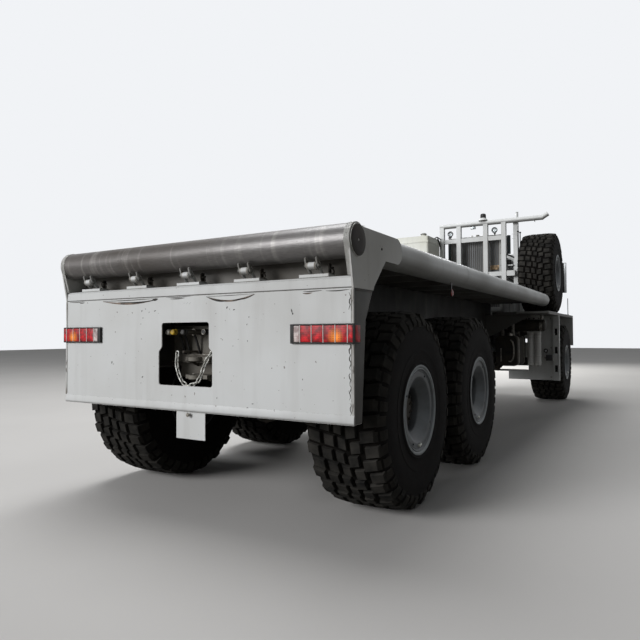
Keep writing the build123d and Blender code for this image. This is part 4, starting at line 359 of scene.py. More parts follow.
# Painted shade and dust: a mid-grey copy of the white enamel, darkened for parts in shade.
SHADED_PANEL_GREY = enamel("dust_and_shade_panel_enamel", "#6E6D69", "#5C5B57", grime_and_shade=0.7, wear=0.6, roughness=0.5)
CREAM = enamel("cream_enamel", "#DFE1D8", "#D3D3C6", grime_and_shade=0.45, wear=0.4)
# Painted shadow: a dark grey copy of the white enamel for the tail beam's shelf and back wall.
SHELF_SHADOW_GREY = enamel("painted_shadow_shelf_enamel", "#777570", "#5C5953", grime_and_shade=0.9, wear=0.6, roughness=0.6)
FILTER_PALE = enamel("pale_filter_enamel", "#EFEFEC", "#DEDEDA", grime_and_shade=0.2, wear=0.2)
DIVIDER = enamel("white_lamp_rib", "#D9D9D4", "#C9C8C2", grime_and_shade=0.2, wear=0.0)
ROLLER_STEEL = rolled_steel("turned_roller_steel", (0.15, 1, 1), "#6B6967", "#31281F", metallic=0.35)
BARE_STEEL = rolled_steel("bare_plate_steel", (1, 1, 1), "#8E8B86", "#5A4F43")
ROPE = rolled_steel("laid_wire_rope", (1, 1, 1), "#8D8A82", "#4C443A")
WORN_PALE = rolled_steel("worn_painted_sheave", (1, 1, 1), "#96938B", "#6D665A", metallic=0.1)
# Partly painted shade: the dark oily steel of the roller's end caps is laid darker still, for the shade they
# sit in.
SHADED_CAP_STEEL = cast_iron("oily_cap_steel_in_painted_shade", "#23201E", "#322D28")
IRON = cast_iron("black_cast_iron", "#141312", "#39342B")
SPRING_STEEL = cast_iron("painted_spring_steel", "#1A1917", "#4A4234")
ENGINE_IRON = cast_iron("engine_cast_iron", "#2A3133", "#35322B")
TREAD = vulcanised_rubber("tread_rubber", "#191918", "#3D3B37", 0.85)
GROOVE = vulcanised_rubber("groove_rubber", "#080706", "#15120E", 0.6)
SIDEWALL = vulcanised_rubber("sidewall_rubber", "#080707", "#171513", 0.55, grain=4)
HOSE_RUBBER = vulcanised_rubber("hose_rubber", "#141414", "#2B2925", 0.4, grain=3)
RIM_SILVER = wheel_silver("stoved_rim_silver")
HOUSING_BLACK = black_plastic("lamp_housing_plastic", "#0B0B0B", 0.6)
TRIM_BLACK = black_plastic("trim_plastic")
SOFT_BLACK = black_plastic("dashboard_plastic", "#232425", 0.62)
PALE_HOSE = black_plastic("pale_hose_cover", "#B9B6AC", 0.55)
YELLOW_CAP = black_plastic("yellow_moulded_cap", "#B8972A", 0.45)
RED_CAP = black_plastic("red_moulded_cap", "#A3231F", 0.45)
SCRAPE_DARK = black_plastic("dark_scrape", "#3C3934", 0.6)
SCRAPE_BROWN = black_plastic("brown_scrape", "#7A6A5C", 0.6)
PIPE_TEAL = black_plastic("teal_black_hose", "#12272C", 0.4)
PALE_TAN = black_plastic("tan_card_panel", "#B59A78", 0.7)
BULBS = ((1281, -26, 1598), (1387, -26, 1598), (1560, -26, 1598), (1668, -26, 1600))
RED_LENS = lamp_lens("red_acrylic", "#B8141D", "#6E080E", BULBS, "#E5852C", ((1546, -26, 1606),))
AMBER_LENS = lamp_lens("amber_acrylic", "#E8862A", "#B4521A", ((1230, 13100, 1130),))
CLEAR_LENS = lamp_lens("clear_acrylic", "#B9AEAA", "#8C7A76", ((1200, -26, 1600),))
ZINC = zinc_plate("zinc_plated_steel", "#C6C7C2", "#8A8880")
DARK_ZINC = zinc_plate("weathered_zinc", "#8A8780", "#4E4A42")
MIRROR_SILVER = zinc_plate("silvered_mirror", "#D5D8D8", "#C2C6C6")
GLASS = float_glass("tinted_float_glass")
LAMP_GLASS = float_glass("lamp_float_glass", "#C9CFD0")
FIN = radiator_fins("radiator_fins")
TREAD_PLATE = tread_plate("chequer_tread_plate", "#5B5A57", "#4A4845")
DECK_PLATE = tread_plate("deck_chequer_plate", "#7A7A77", "#66645F")
CLOTH = woven_cloth("woven_seat_cloth", "#3C4046", "#23262B")


# Making meshes; every helper works in millimetres on one bmesh

def parts(count):
    """Empty meshes to collect pieces in."""
    return [bmesh.new() for _ in range(count)]


def bridge(bm, rings, layer=0, closed=True):
    """Faces between each ring of points and the next, where points that fall together count once."""
    faces = []
    for lower, upper in zip(rings, rings[1:]):
        for index in range(len(lower) if closed else len(lower) - 1):
            after = (index + 1) % len(lower)
            corners = list(dict.fromkeys((lower[index], lower[after], upper[after], upper[index])))
            if len(corners) > 2:
                faces.append(bm.faces.new(corners))
                faces[-1].material_index = layer
    return faces


def soften(bm, edges, offset, layer):
    """Rounds edges off in two steps and gives the new faces their material."""
    out = bmesh.ops.bevel(bm, geom=list(edges), offset=offset, segments=2, affect="EDGES", profile=0.6)
    for face in out["faces"]:
        face.material_index = layer


def box(bm, x0, x1, y0, y1, z0, z1, soft=4, layer=0):
    """Box between two corners with softened edges."""
    verts = bmesh.ops.create_cube(bm, size=1)["verts"]
    size = Vector((abs(x1 - x0), abs(y1 - y0), abs(z1 - z0)))
    shift = Matrix.Translation(((x0 + x1) / 2, (y0 + y1) / 2, (z0 + z1) / 2))
    bmesh.ops.transform(bm, matrix=shift @ Matrix.Diagonal((*size, 1)), verts=verts)
    for face in {face for vert in verts for face in vert.link_faces}:
        face.material_index = layer
    if soft:
        soften(bm, {edge for vert in verts for edge in vert.link_edges}, min(soft, min(size) * 0.45), layer)


def axis_frame(centre, axis):
    """Matrix that turns local Z to an axis and puts the origin at a centre."""
    return Matrix.Translation(centre) @ Vector(axis).to_track_quat("Z", "Y").to_matrix().to_4x4()


def circle(radius, count, phase=0.0):
    """Places evenly round a circle, as (sine, cosine) lengths; the phase is a share of one step."""
    angles = [math.tau * (index + phase) / count for index in range(count)]
    return [(radius * math.sin(angle), radius * math.cos(angle)) for angle in angles]


def turned(bm, profile, centre, axis, segments=48, layer=0):
    """Body of revolution from (along, radius) points about an axis through a centre."""
    matrix = axis_frame(centre, axis)
    rings = []
    for along, radius in profile:
        if radius < 1e-6:
            rings.append([bm.verts.new(matrix @ Vector((0, 0, along)))] * segments)
        else:
            rings.append([bm.verts.new(matrix @ Vector((x, y, along))) for y, x in circle(radius, segments)])
    bridge(bm, rings, layer)


def rod(bm, first, last, radius, segments=20, soft=2, layer=0):
    """Round bar between two points with softened ends."""
    first, last = Vector(first), Vector(last)
    length = (last - first).length
    soft = min(soft, radius * 0.5, length * 0.4)
    turned(bm, [(0, 0), (0, radius - soft), (soft, radius), (length - soft, radius), (length, radius - soft),
                (length, 0)], first, last - first, segments, layer)


def tube(bm, points, radius, segments=12, layer=0):
    """Round tube that follows points, with flat ends."""
    points = [Vector(point) for point in points]
    rings = []
    normal = None
    for index, point in enumerate(points):
        ahead = points[min(index + 1, len(points) - 1)] - points[max(index - 1, 0)]
        ahead.normalize()
        if normal is None:
            normal = ahead.orthogonal().normalized()
        normal = (normal - ahead * normal.dot(ahead)).normalized()
        side = ahead.cross(normal)
        rings.append([bm.verts.new(point + normal * a + side * b) for b, a in circle(radius, segments)])
    bridge(bm, rings, layer)
    for end in (rings[0], rings[-1]):
        bm.faces.new(end).material_index = layer


def curve_points(corners, count):
    """Smooth run of points through corners, as a Catmull-Rom curve with so many steps to each."""
    corners = [Vector(corner) for corner in corners]
    ends = [corners[0] * 2 - corners[1], *corners, corners[-1] * 2 - corners[-2]]
    points = []
    for index in range(1, len(ends) - 2):
        a, b, c, d = ends[index - 1:index + 3]
        for step in range(count):
            t = step / count
            points.append(0.5 * (2 * b + (c - a) * t + (2 * a - 5 * b + 4 * c - d) * t ** 2
                                 + (3 * b - a - 3 * c + d) * t ** 3))
    return points + [corners[-1]]


def hose(bm, corners, radius, count=10, segments=10, layer=0):
    """Round tube that bends smoothly through corners."""
    tube(bm, curve_points(corners, count), radius, segments, layer)


def bolt(bm, centre, axis, size=24, layer=0):
    """Hexagon bolt head on a washer; size is across the flats."""
    radius = size / math.sqrt(3)
    washer = size * 0.10
    turned(bm, [(0, 0), (0, size * 0.75), (washer, size * 0.75), (washer, 0)], centre, axis, 14, layer)
    turned(bm, [(washer, radius), (size * 0.58, radius), (size * 0.70, radius * 0.86), (size * 0.70, 0)],
           centre, axis, 6, layer)


def weld(bm, first, last, radius=5):
    """Fillet weld bead with its ripples."""
    first, last = Vector(first), Vector(last)
    length = (last - first).length
    count = max(4, int(length / 14))
    ripples = [(length * index / count, radius * (0.82 + 0.18 * (index % 2))) for index in range(count + 1)]
    turned(bm, [(0, 0), *ripples, (length, 0)], first, last - first, 6)


def plate(bm, outline, axis, low, high, soft=3, layer=0):
    """Flat plate: an outline in the two other axes, from low to high along an axis."""
    place = "XYZ".index(axis)
    lower, upper = ([bm.verts.new((*point[:place], level, *point[place:])) for point in outline]
                    for level in (low, high))
    faces = [bm.faces.new(lower[::-1]), bm.faces.new(upper), *bridge(bm, (lower, upper))]
    for face in faces:
        face.material_index = layer
    bmesh.ops.recalc_face_normals(bm, faces=faces)
    if soft:
        rims = {edge for face in faces[:2] for edge in face.edges}
        soften(bm, rims, min(soft, abs(high - low) * 0.45), layer)


def ring(bm, centre, axis, radius, wire, segments=48, around=12, layer=0):
    """Round wire or bead bent to a circle about an axis."""
    matrix = axis_frame(centre, axis)
    loops = []
    for y, x in circle(1, segments):
        out = Vector((x, y, 0))
        loops.append([bm.verts.new(matrix @ (out * (radius + a) + Vector((0, 0, b))))
                      for b, a in circle(wire, around)])
    bridge(bm, loops + loops[:1], layer)


def ribbon(bm, points, width, layer=0):
    """Thin tapering scrape just off the tail plate's face, along (x, z) points."""
    level = -1.2
    count = len(points) - 1
    edges = []
    for index, (x, z) in enumerate(points):
        before, after = points[max(index - 1, 0)], points[min(index + 1, count)]
        along = Vector((after[0] - before[0], after[1] - before[1])).normalized()
        half = width / 2 * math.sin(math.pi * (0.06 + 0.88 * index / count))
        edges.append([bm.verts.new((x - side * along.y * half, level, z + side * along.x * half))
                      for side in (1, -1)])
    bridge(bm, edges, layer, closed=False)


def bowed(first, last, bow, count):
    """Points of (x, z) from first to last that bow down by so much in the middle."""
    points = []
    for index in range(count + 1):
        share = index / count
        x, z = (a + (b - a) * share for a, b in zip(first, last))
        points.append((x, z - bow * math.sin(math.pi * share)))
    return points


def mesh_from(name, bm, materials, smooth=35, origin=(0, 0, 0)):
    """The collected mesh in metres from an origin, smooth but for edges past an angle."""
    bmesh.ops.recalc_face_normals(bm, faces=bm.faces)
    bmesh.ops.transform(bm, matrix=Matrix.Translation(origin) @ Matrix.Scale(MM, 4), verts=bm.verts)
    mesh = bpy.data.meshes.new(name)
    bm.to_mesh(mesh)
    bm.free()
    mesh.shade_smooth()
    mesh.set_sharp_from_angle(angle=math.radians(smooth))
    for material in materials:
        mesh.materials.append(material)
    return mesh


def place_piece(name, mesh, body="chassis", replaces=(), at=None):
    """Puts a mesh in the scene as a piece that rides on a body."""
    piece = bpy.data.objects.new(name, mesh)
    bpy.context.scene.collection.objects.link(piece)
    if at is not None:
        piece.matrix_world = at
    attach(piece, body)
    if replaces:
        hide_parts(*replaces)
    return piece


def finish_piece(name, bm, slot, *materials, body="chassis", replaces=(), smooth=35):
    """Turns a collected mesh, drawn in stations, into a piece that rides on a body."""
    mesh = mesh_from(name, bm, materials, smooth, station(0, 0, 0))
    return place_piece(name, mesh, body, replaces)


def finish_node(node, material):
    """Gives a CAD node that stays its finish."""
    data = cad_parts[node].data
    data.materials.clear()
    data.materials.append(material)


# Camera, floor and lamps

def photo_camera():
    """Camera low behind the right rear corner, looking forward and to the left, as in the photo."""
    yaw, pitch, roll = math.radians(30.40), math.radians(1.459), math.radians(-0.2436)
    place = station(3654.7, -3845.8, 1621.2)
    ahead = Vector((-math.sin(yaw), math.cos(yaw), 0))
    right = Vector((math.cos(yaw), math.sin(yaw), 0))
    up = Vector(UP)
    look = ahead * math.cos(pitch) + up * math.sin(pitch)
    crown = up * math.cos(pitch) - ahead * math.sin(pitch)
    turned_right = right * math.cos(roll) + crown * math.sin(roll)
    turned_up = crown * math.cos(roll) - right * math.sin(roll)
    data = bpy.data.cameras.new("photo_camera")
    data.lens = 32.23
    data.sensor_width = 36
    data.clip_end = 200
    camera = bpy.data.objects.new("photo_camera", data)
    bpy.context.scene.collection.objects.link(camera)
    basis = Matrix((turned_right, turned_up, -look)).transposed().to_4x4()
    camera.matrix_world = Matrix.Translation(place) @ basis
    bpy.context.scene.camera = camera


def seen_ray(tree):
    """Mask of the rays that show the background: straight ones, and those by glass and gloss."""
    path = add(tree, "ShaderNodeLightPath").outputs
    share = path["Is Camera Ray"]
    for kind in ("Is Transmission Ray", "Is Glossy Ray"):
        share = add(tree, "ShaderNodeMath", {0: share, 1: path[kind]}, operation="MAXIMUM").outputs[0]
    return share


def pale_world():
    """White backdrop that lights the truck only a little."""
    world = bpy.data.worlds.new("pale_studio")
    world.use_nodes = True
    tree = world.node_tree
    tree.nodes.clear()
    light = add(tree, "ShaderNodeBackground", {"Color": linear("#F2F5FA"), "Strength": 0.11})
    shown = add(tree, "ShaderNodeBackground", {"Color": linear("#F1F3F6"), "Strength": 1.0})
    mix = add(tree, "ShaderNodeMixShader", {0: seen_ray(tree), 1: light.outputs[0], 2: shown.outputs[0]})
    add(tree, "ShaderNodeOutputWorld", {"Surface": mix.outputs[0]})
    bpy.context.scene.world = world


def pale_floor():
    """Concrete floor, which the truck sees darker than the camera does, as the photo's road is."""
    reach = 60
    mesh = bpy.data.meshes.new("studio_floor")
    mesh.from_pydata([(-reach, -reach, 0), (reach, -reach, 0), (reach, reach, 0), (-reach, reach, 0)], [],
                     [(0, 1, 2, 3)])
    floor = bpy.data.objects.new("studio_floor", mesh)
    bpy.context.scene.collection.objects.link(floor)
    concrete = Finish("pale_floor", "#C9C7C3", Roughness=0.85)
    concrete.lay("#C4C2BE", concrete.blotches(2500, 0.3, 0.7))
    colours = {0: seen_ray(concrete.tree), 6: linear("#6E6B66"), 7: concrete.base}
    concrete.base = concrete.made("ShaderNodeMix", colours, 2, data_type="RGBA")
    mesh.materials.append(concrete.done())


def studio_lamps():
    """Soft round lamps: the key behind on the left, one above and one in front."""
    lamps = (
        # name, place, aim, width across, watts, colour
        ("rear_panel", (-18, -38, 13), (0, -4, 1.5), 20.0, 13400, "#FCFCFF"),
        ("sky_panel", (-4, -2, 16), (0, 0, 1), 10.0, 1650, "#FBFCFF"),
        ("front_panel", (-6, 19, 8), (0, 5, 1.5), 9.0, 1700, "#FFFFFF"),
    )
    for name, spot, aim, size, power, colour in lamps:
        data = bpy.data.lights.new(name, "AREA")
        data.shape = "DISK"
        data.size = size
        data.energy = power
        data.color = linear(colour)[:3]
        lamp = bpy.data.objects.new(name, data)
        lamp.location = spot
        lamp.rotation_mode = "QUATERNION"
        lamp.rotation_quaternion = (Vector(aim) - Vector(spot)).to_track_quat("-Z", "Y")
        bpy.context.scene.collection.objects.link(lamp)


bpy.context.scene.view_settings.view_transform = "Standard"
photo_camera()
pale_world()
pale_floor()
studio_lamps()


# Wheels, in millimetres about the hub with X outwards

TYRE_R = 920
ROWS = 44
LUG_DEPTH = 30
SHOULDER_X = 322
COLUMNS = (
    # inner x, outer x, stagger as a share of the row pitch
    (-SHOULDER_X, -204, 0.80),
    (-166, -74, 0.62),
    (-36, 36, 0.45),
    (74, 166, 0.22),
    (204, SHOULDER_X, 0.0),
)


def crown(x):
    """Radius of the tread at a place across it."""
    x = abs(x)
    return TYRE_R if x < 187 else TYRE_R - (x - 187) / 154 * 22


def tread_spot(bm, x, angle, radius):
    """Point on the tyre from its place across, angle about the axle and radius."""
    return bm.verts.new((x, radius * math.sin(angle), radius * math.cos(angle)))


def tread_block(bm, corners):
    """One tread block from four (x, angle) corners, chamfered round its top."""
    middle_x = sum(x for x, _ in corners) / 4
    middle_angle = sum(angle for _, angle in corners) / 4
    rings = []
    for level, share in ((-LUG_DEPTH - 8, 1.07), (-5, 1.0), (0, 0.92)):
        points = [(middle_x + (x - middle_x) * share, middle_angle + (angle - middle_angle) * share)
                  for x, angle in corners]
        rings.append([tread_spot(bm, x, angle, crown(x) + level) for x, angle in points])
    bridge(bm, rings)
    bm.faces.new(rings[-1])


def shoulder_lug(bm, outward, angle, half_angle, zigzag, low_end):
    """Lug that runs from the tread's edge down the shoulder to the radius of its low end."""
    edge = outward * (SHOULDER_X + outward * zigzag)
    outside = [(edge * 0.985, crown(edge) - 3), (outward * 366, 822), (outward * 373, low_end)]
    inside = [(outward * 358, 770), (outward * 340, 830), (edge * 0.93, crown(edge) - 30)]
    loops = [[tread_spot(bm, x, angle + turn, radius) for x, radius in outside + inside]
             for turn in (-half_angle, half_angle)]
    bridge(bm, loops)
    bm.faces.new(loops[0])
    bm.faces.new(loops[1][::-1])


def tyre_mesh():
    """Earthmover-style tyre: a bulged carcass, five staggered columns of blocks and shoulder lugs."""
    bm = bmesh.new()
    whole = [(300, 394), (352, 394), (366, 402), (369, 425), (372, 440), (364, 452), (362, 470), (369, 540),
             (372, 556), (369, 562), (374, 640), (373, 700), (366, 770), (356, 818), (338, 858), (318, 876),
             (187, 890)]
    profile = [(-x, r) for x, r in whole] + [(0, 890)] + [(x, r) for x, r in reversed(whole)] + [(-300, 394)]
    turned(bm, profile, (0, 0, 0), RIGHT, 96, layer=1)
    for face in bm.faces:
        middle = face.calc_center_median()
        if math.hypot(middle.y, middle.z) > 860:
            face.material_index = 2
    pitch = math.tau / ROWS
    half_angle = 0.5 * 98 / TYRE_R
    for row in range(ROWS):
        zigzag = 17 if row % 2 else -17
        for inner, outer, stagger in COLUMNS:
            angle = (row + stagger) * pitch
            skew = 0.010 if inner + outer > 0 else -0.010
            x0, x1 = inner + zigzag, outer + zigzag
            tread_block(bm, [(x0, angle - half_angle - skew), (x1, angle - half_angle + skew),
                             (x1, angle + half_angle + skew), (x0, angle + half_angle - skew)])
        for outward, stagger in ((1, 0.0), (-1, 0.80)):
            angle, low_end = (row + stagger) * pitch, 770 + 24 * (row % 2)
            shoulder_lug(bm, outward, angle, half_angle * 0.92, zigzag, low_end)
    return mesh_from("block_tread_tyre", bm, (TREAD, SIDEWALL, GROOVE), 30)


def rim_mesh(name, hub):
    """Three-piece rim: rolled flange, lock ring, flat ring and deep dish; on a road wheel, the hub."""
    bm = bmesh.new()
    face = [(-366, 392), (-371, 404), (-370, 415), (-362, 420), (-354, 417), (-350, 408), (-349, 390),
            (349, 390), (350, 408), (354, 417), (362, 420), (370, 415), (371, 404), (368, 396), (362, 390),
            (360, 386), (364, 383), (366, 378), (364, 372), (357, 367), (353, 361), (352, 352), (352, 312),
            (350, 304), (344, 297), (300, 247), (272, 217), (266, 211), (256, 207), (146, 204), (138, 200)]
    recess = [(138, 186)] if hub else [(138, 152), (112, 152)]
    back = [(112, 236), (246, 236), (330, 330), (334, 366), (-300, 374), (-345, 376), (-366, 392)]
    turned(bm, face + recess, (0, 0, 0), RIGHT, 96)
    turned(bm, recess[-1:] + back, (0, 0, 0), RIGHT, 96)
    ring(bm, (353, 0, 0), RIGHT, 357, 4, 96, 8)
    for y, z in circle(196 if hub else 180, 16, 0.5):
        bolt(bm, (138, y, z), RIGHT, 16 if hub else 26, layer=1)
    if hub:
        cover = [(-250, 70.5), (-250, 140), (60, 150), (110, 180), (140, 190), (196, 188), (206, 182),
                 (210, 172), (211, 116), (214, 108), (226, 104), (230, 96), (231, 40), (228, 0)]
        turned(bm, cover, (0, 0, 0), RIGHT, 64, layer=2)
        for x, spots, size in ((210, circle(148, 12, 0.5), 26), (229, circle(78, 6), 16)):
            for y, z in spots:
                bolt(bm, (x, y, z), RIGHT, size, layer=2)
    valve = ((300, 40, -300), (340, 30, -312), (362, 16, -322), (366, 6, -330))
    hose(bm, valve, 8, 8, 10, layer=1)
    box(bm, 352, 362, -34, 34, -342, -316, 3, layer=1)
    rod(bm, (352, -20, -329), (372, -20, -329), 13, 12, layer=1)
    rod(bm, (352, 20, -329), (368, 20, -329), 10, 12, layer=1)
    for y, z in circle(334, 4, 0.3):
        rod(bm, (351, y, z), (362, y, z), 9, 12)
    return mesh_from(name, bm, (RIM_SILVER, ZINC, IRON), 32)


def place_wheel(name, body, replaced, at, turn, tyre, rim):
    """A tyre and its rim, turned about the axle and put in place of the CAD's two."""
    kinds = (("block_tyre", tyre, "tyre"), ("steel_rim", rim, "rim_silver"))
    for (kind, mesh, slot), node in zip(kinds, replaced):
        rolled = mesh.copy()
        rolled.transform(Matrix.Rotation(turn, 4, "X"))
        place_piece(f"{kind}_{name}", rolled, body, (node,), at)


def wheels():
    """Six road wheels and the spare, all from the same tyre, each rolled to an angle of its own."""
    tyre = tyre_mesh()
    road_rim = rim_mesh("dished_road_rim", True)
    places = (("rear", REAR_AXLE_Y, (0.21, 0.0)), ("middle", MIDDLE_AXLE_Y, (0.47, -0.11)),
              ("front", FRONT_AXLE_Y, (0.9, 0.62)))
    for axle, y, turns in places:
        for (name, side), turn in zip(SIDES, turns):
            facing = Matrix.Rotation(0 if side > 0 else math.pi, 4, "Z")
            at = Matrix.Translation(station(side * TRACK_HALF, y, HUB_Z)) @ facing
            wheel = f"{axle}_{name}"
            place_wheel(wheel, f"wheel_{wheel}", (f"tyre_{wheel}", f"rim_{wheel}"), at, turn, tyre, road_rim)
    at = Matrix.Translation(station(SPARE_X, SPARE_Y, SPARE_Z))
    spare_rim = rim_mesh("dished_spare_rim", False)
    place_wheel("spare", "chassis", ("spare_tyre", "spare_rim"), at, 0.5, tyre, spare_rim)


wheels()


# Tail

def tail_lamp_clusters():
    """Long clusters of ribbed lenses in black housings that wrap round the plate's corners."""
    inner, outer, bottom, top = 1133, 1703, 1550, 1705
    low, high = bottom + 13, top - 13
    for name, side in SIDES:
        housing, red, clear, ribs = parts(4)
        boxes = (
            # mesh, x across, y, z, softening
            (housing, inner, outer, -14, 0, bottom, top, 8),
            (housing, inner, outer, -25, -8, top - 12, top, 5),
            (housing, inner, outer, -25, -8, bottom, bottom + 12, 5),
            (housing, inner, inner + 36, -25, -8, bottom, top, 9),
            (housing, outer - 10, outer, -25, 95, bottom, top, 5),
            (clear, 1170, 1224, -27, -10, low, high, 5),
            *((red, x, x + 98, -27, -10, low, high, 5) for x in (1232, 1338, 1444, 1550)),
            (red, 1656, 1696, -27, -10, low, high, 5), (red, outer + 3, outer - 6, 8, 84, low, high, 4),
            *((ribs, x - 3, x + 3, -29, -12, low - 4, high + 4, 1.5) for x in (1228, 1334, 1440, 1546, 1652)),
        )
        for bm, x0, x1, *rest in boxes:
            box(bm, side * x0, side * x1, *rest)
        for z in (bottom + 7, top - 7):
            for x in (1150, 1418):
                rod(housing, (side * x, -20, z), (side * x, -27, z), 4, 10)
        finish_piece(f"tail_lamp_housing_{name}", housing, "lamp_plastic", HOUSING_BLACK,
                     replaces=("tail_lamps",))
        finish_piece(f"tail_lamp_red_{name}", red, "lamp_plastic", RED_LENS)
        finish_piece(f"tail_lamp_clear_{name}", clear, "lamp_plastic", CLEAR_LENS)
        finish_piece(f"tail_lamp_ribs_{name}", ribs, "lamp_plastic", DIVIDER)


def tail_scrapes(marks):
    """Long dark and brown scrapes under the plate's upper edge and above its lower one."""
    scrapes = (
        # first and last point, bow, points, width, layer
        ((-1122, 1962), (-372, 1966), 3, 30, 8, 0), ((-1122, 1960), (-369, 1955), 30, 30, 19, 1),
        ((-900, 1948), (-369, 1953), 14, 24, 12, 0), ((-430, 1954), (-356, 1961), 2, 8, 24, 0),
        ((240, 1960), (763, 1965), 2, 24, 5, 0), ((240, 1958), (763, 1962), 46, 30, 15, 1),
        ((236, 1960), (500, 1918), 20, 20, 13, 0), ((560, 1922), (770, 1961), 12, 14, 10, 0),
        ((-1640, 1968), (-1400, 1970), 4, 12, 8, 0), ((-1480, 1955), (-1400, 1958), 2, 8, 9, 0),
        ((-255, 1969), (60, 1971), 3, 14, 7, 0), ((-200, 1955), (-20, 1958), 3, 12, 10, 0),
        ((1240, 1962), (1420, 1965), 2, 12, 8, 0), ((1240, 1948), (1330, 1950), 3, 8, 12, 1),
        ((1450, 1960), (1662, 1964), 5, 12, 9, 0), ((1180, 948), (1300, 944), 3, 8, 12, 1),
        ((1440, 946), (1560, 942), 3, 8, 10, 1),
    )
    for first, last, bow, count, width, layer in scrapes:
        ribbon(marks, bowed(first, last, bow, count), width, layer)


def tail_chips(marks):
    """Rubs down the right edge but for the lamp, chips over the plate and a few short strokes."""
    lamp_z, lamp_reach = 1600, 110
    rubs = [(1660 + 7 * math.sin(index * 1.9) + 4 * math.sin(index * 0.7), 1010 + index * 19)
            for index in range(51)]
    for first in range(0, 48, 6):
        if abs(rubs[first][1] - lamp_z) > lamp_reach:
            ribbon(marks, rubs[first:first + 6 + first % 4], 7 + first % 5)
    chips = (
        # x, z, width, length, lean in radians
        (1136, 1811, 12, 40, -0.3), (1146, 1788, 14, 16, 0.1), (-567, 1853, 10, 22, 0.5),
        (-394, 1849, 10, 26, 1.2), (-520, 1870, 7, 14, 0.2), (-470, 1838, 7, 16, 0.9),
        (-553, 1786, 8, 14, 0.3), (-580, 1729, 6, 12, 0.7), (-984, 1355, 14, 26, 0.2),
        (-960, 1340, 7, 14, 0.9), (-556, 1226, 12, 26, 0.9), (-577, 1169, 6, 14, 0.2),
        (471, 1857, 12, 24, 0.6), (547, 1836, 10, 22, 1.3), (500, 1842, 6, 12, 0.2),
        (707, 1771, 8, 14, 0.2), (686, 1709, 7, 16, 0.5), (692, 1570, 7, 14, 0.2), (1237, 1267, 7, 14, 0.2),
        (1233, 1184, 6, 10, 0.3), (746, 1046, 8, 18, 1.4), (536, 1527, 5, 12, 0.4), (393, 1301, 6, 12, 0.9),
        (359, 1075, 8, 14, 0.3), (-905, 1240, 5, 10, 0.4), (-1300, 1410, 5, 12, 1.1),
        (690, 1010, 7, 20, 1.5), (1010, 1170, 5, 10, 0.2),
    )
    for x, z, width, length, lean in chips:
        dx, dz = length / 2 * math.sin(lean), length / 2 * math.cos(lean)
        ribbon(marks, [(x - dx, z - dz), (x, z + width * 0.15), (x + dx, z + dz)], width)
    for index in range(9):
        x, z = -40 + index * 11 + 5 * math.sin(index * 2.3), 1905 + 8 * math.sin(index * 1.7)
        ribbon(marks, [(x, z), (x + 6, z + 7)], 5)


def tail_plate_details():
    """Rounded lower lip, rubbed edges, scrapes, chips and the licence bracket's latch."""
    lip, edge, marks, latch = parts(4)
    low, edge_x = 934, 1672
    section = [(10, low + 1), (3, low), (-3, low + 4), (-7, low + 12), (-8, low + 26), (-7, low + 44),
               (-4, low + 62), (-0.5, low + 76), (10, low + 76)]
    plate(lip, section, "X", -BODY_HALF, BODY_HALF, 2)
    for side in (-1, 1):
        box(edge, side * (edge_x + 4), side * (edge_x + 22), -4, 12, low + 78, 1974, 3)
        for z0, z1 in ((low + 90, 1545), (1712, 1965)):
            weld(edge, (side * edge_x, -1, z0), (side * edge_x, -1, z1), 3)
    tail_scrapes(marks)
    tail_chips(marks)
    latch_x = 32
    rod(latch, (latch_x, 4, 912), (latch_x, -12, 912), 9, 16)
    box(latch, 12, 50, -16, -10, 900, 922, 4)
    rod(latch, (30, -10, 893), (30, -10, 926), 6, 12)
    turned(latch, [(0, 0), (0, 15), (3, 17), (9, 15), (10, 0)], (latch_x, -12, 906), BACK, 20)
    finish_piece("tail_plate_lip", lip, "white_paint", WHITE)
    finish_piece("tail_plate_edges", edge, "white_paint", SCUFFED)
    finish_piece("tail_plate_scrapes", marks, "white_paint", SCRAPE_DARK, SCRAPE_BROWN)
    finish_piece("licence_bracket_latch", latch, "zinc_steel", DARK_ZINC)


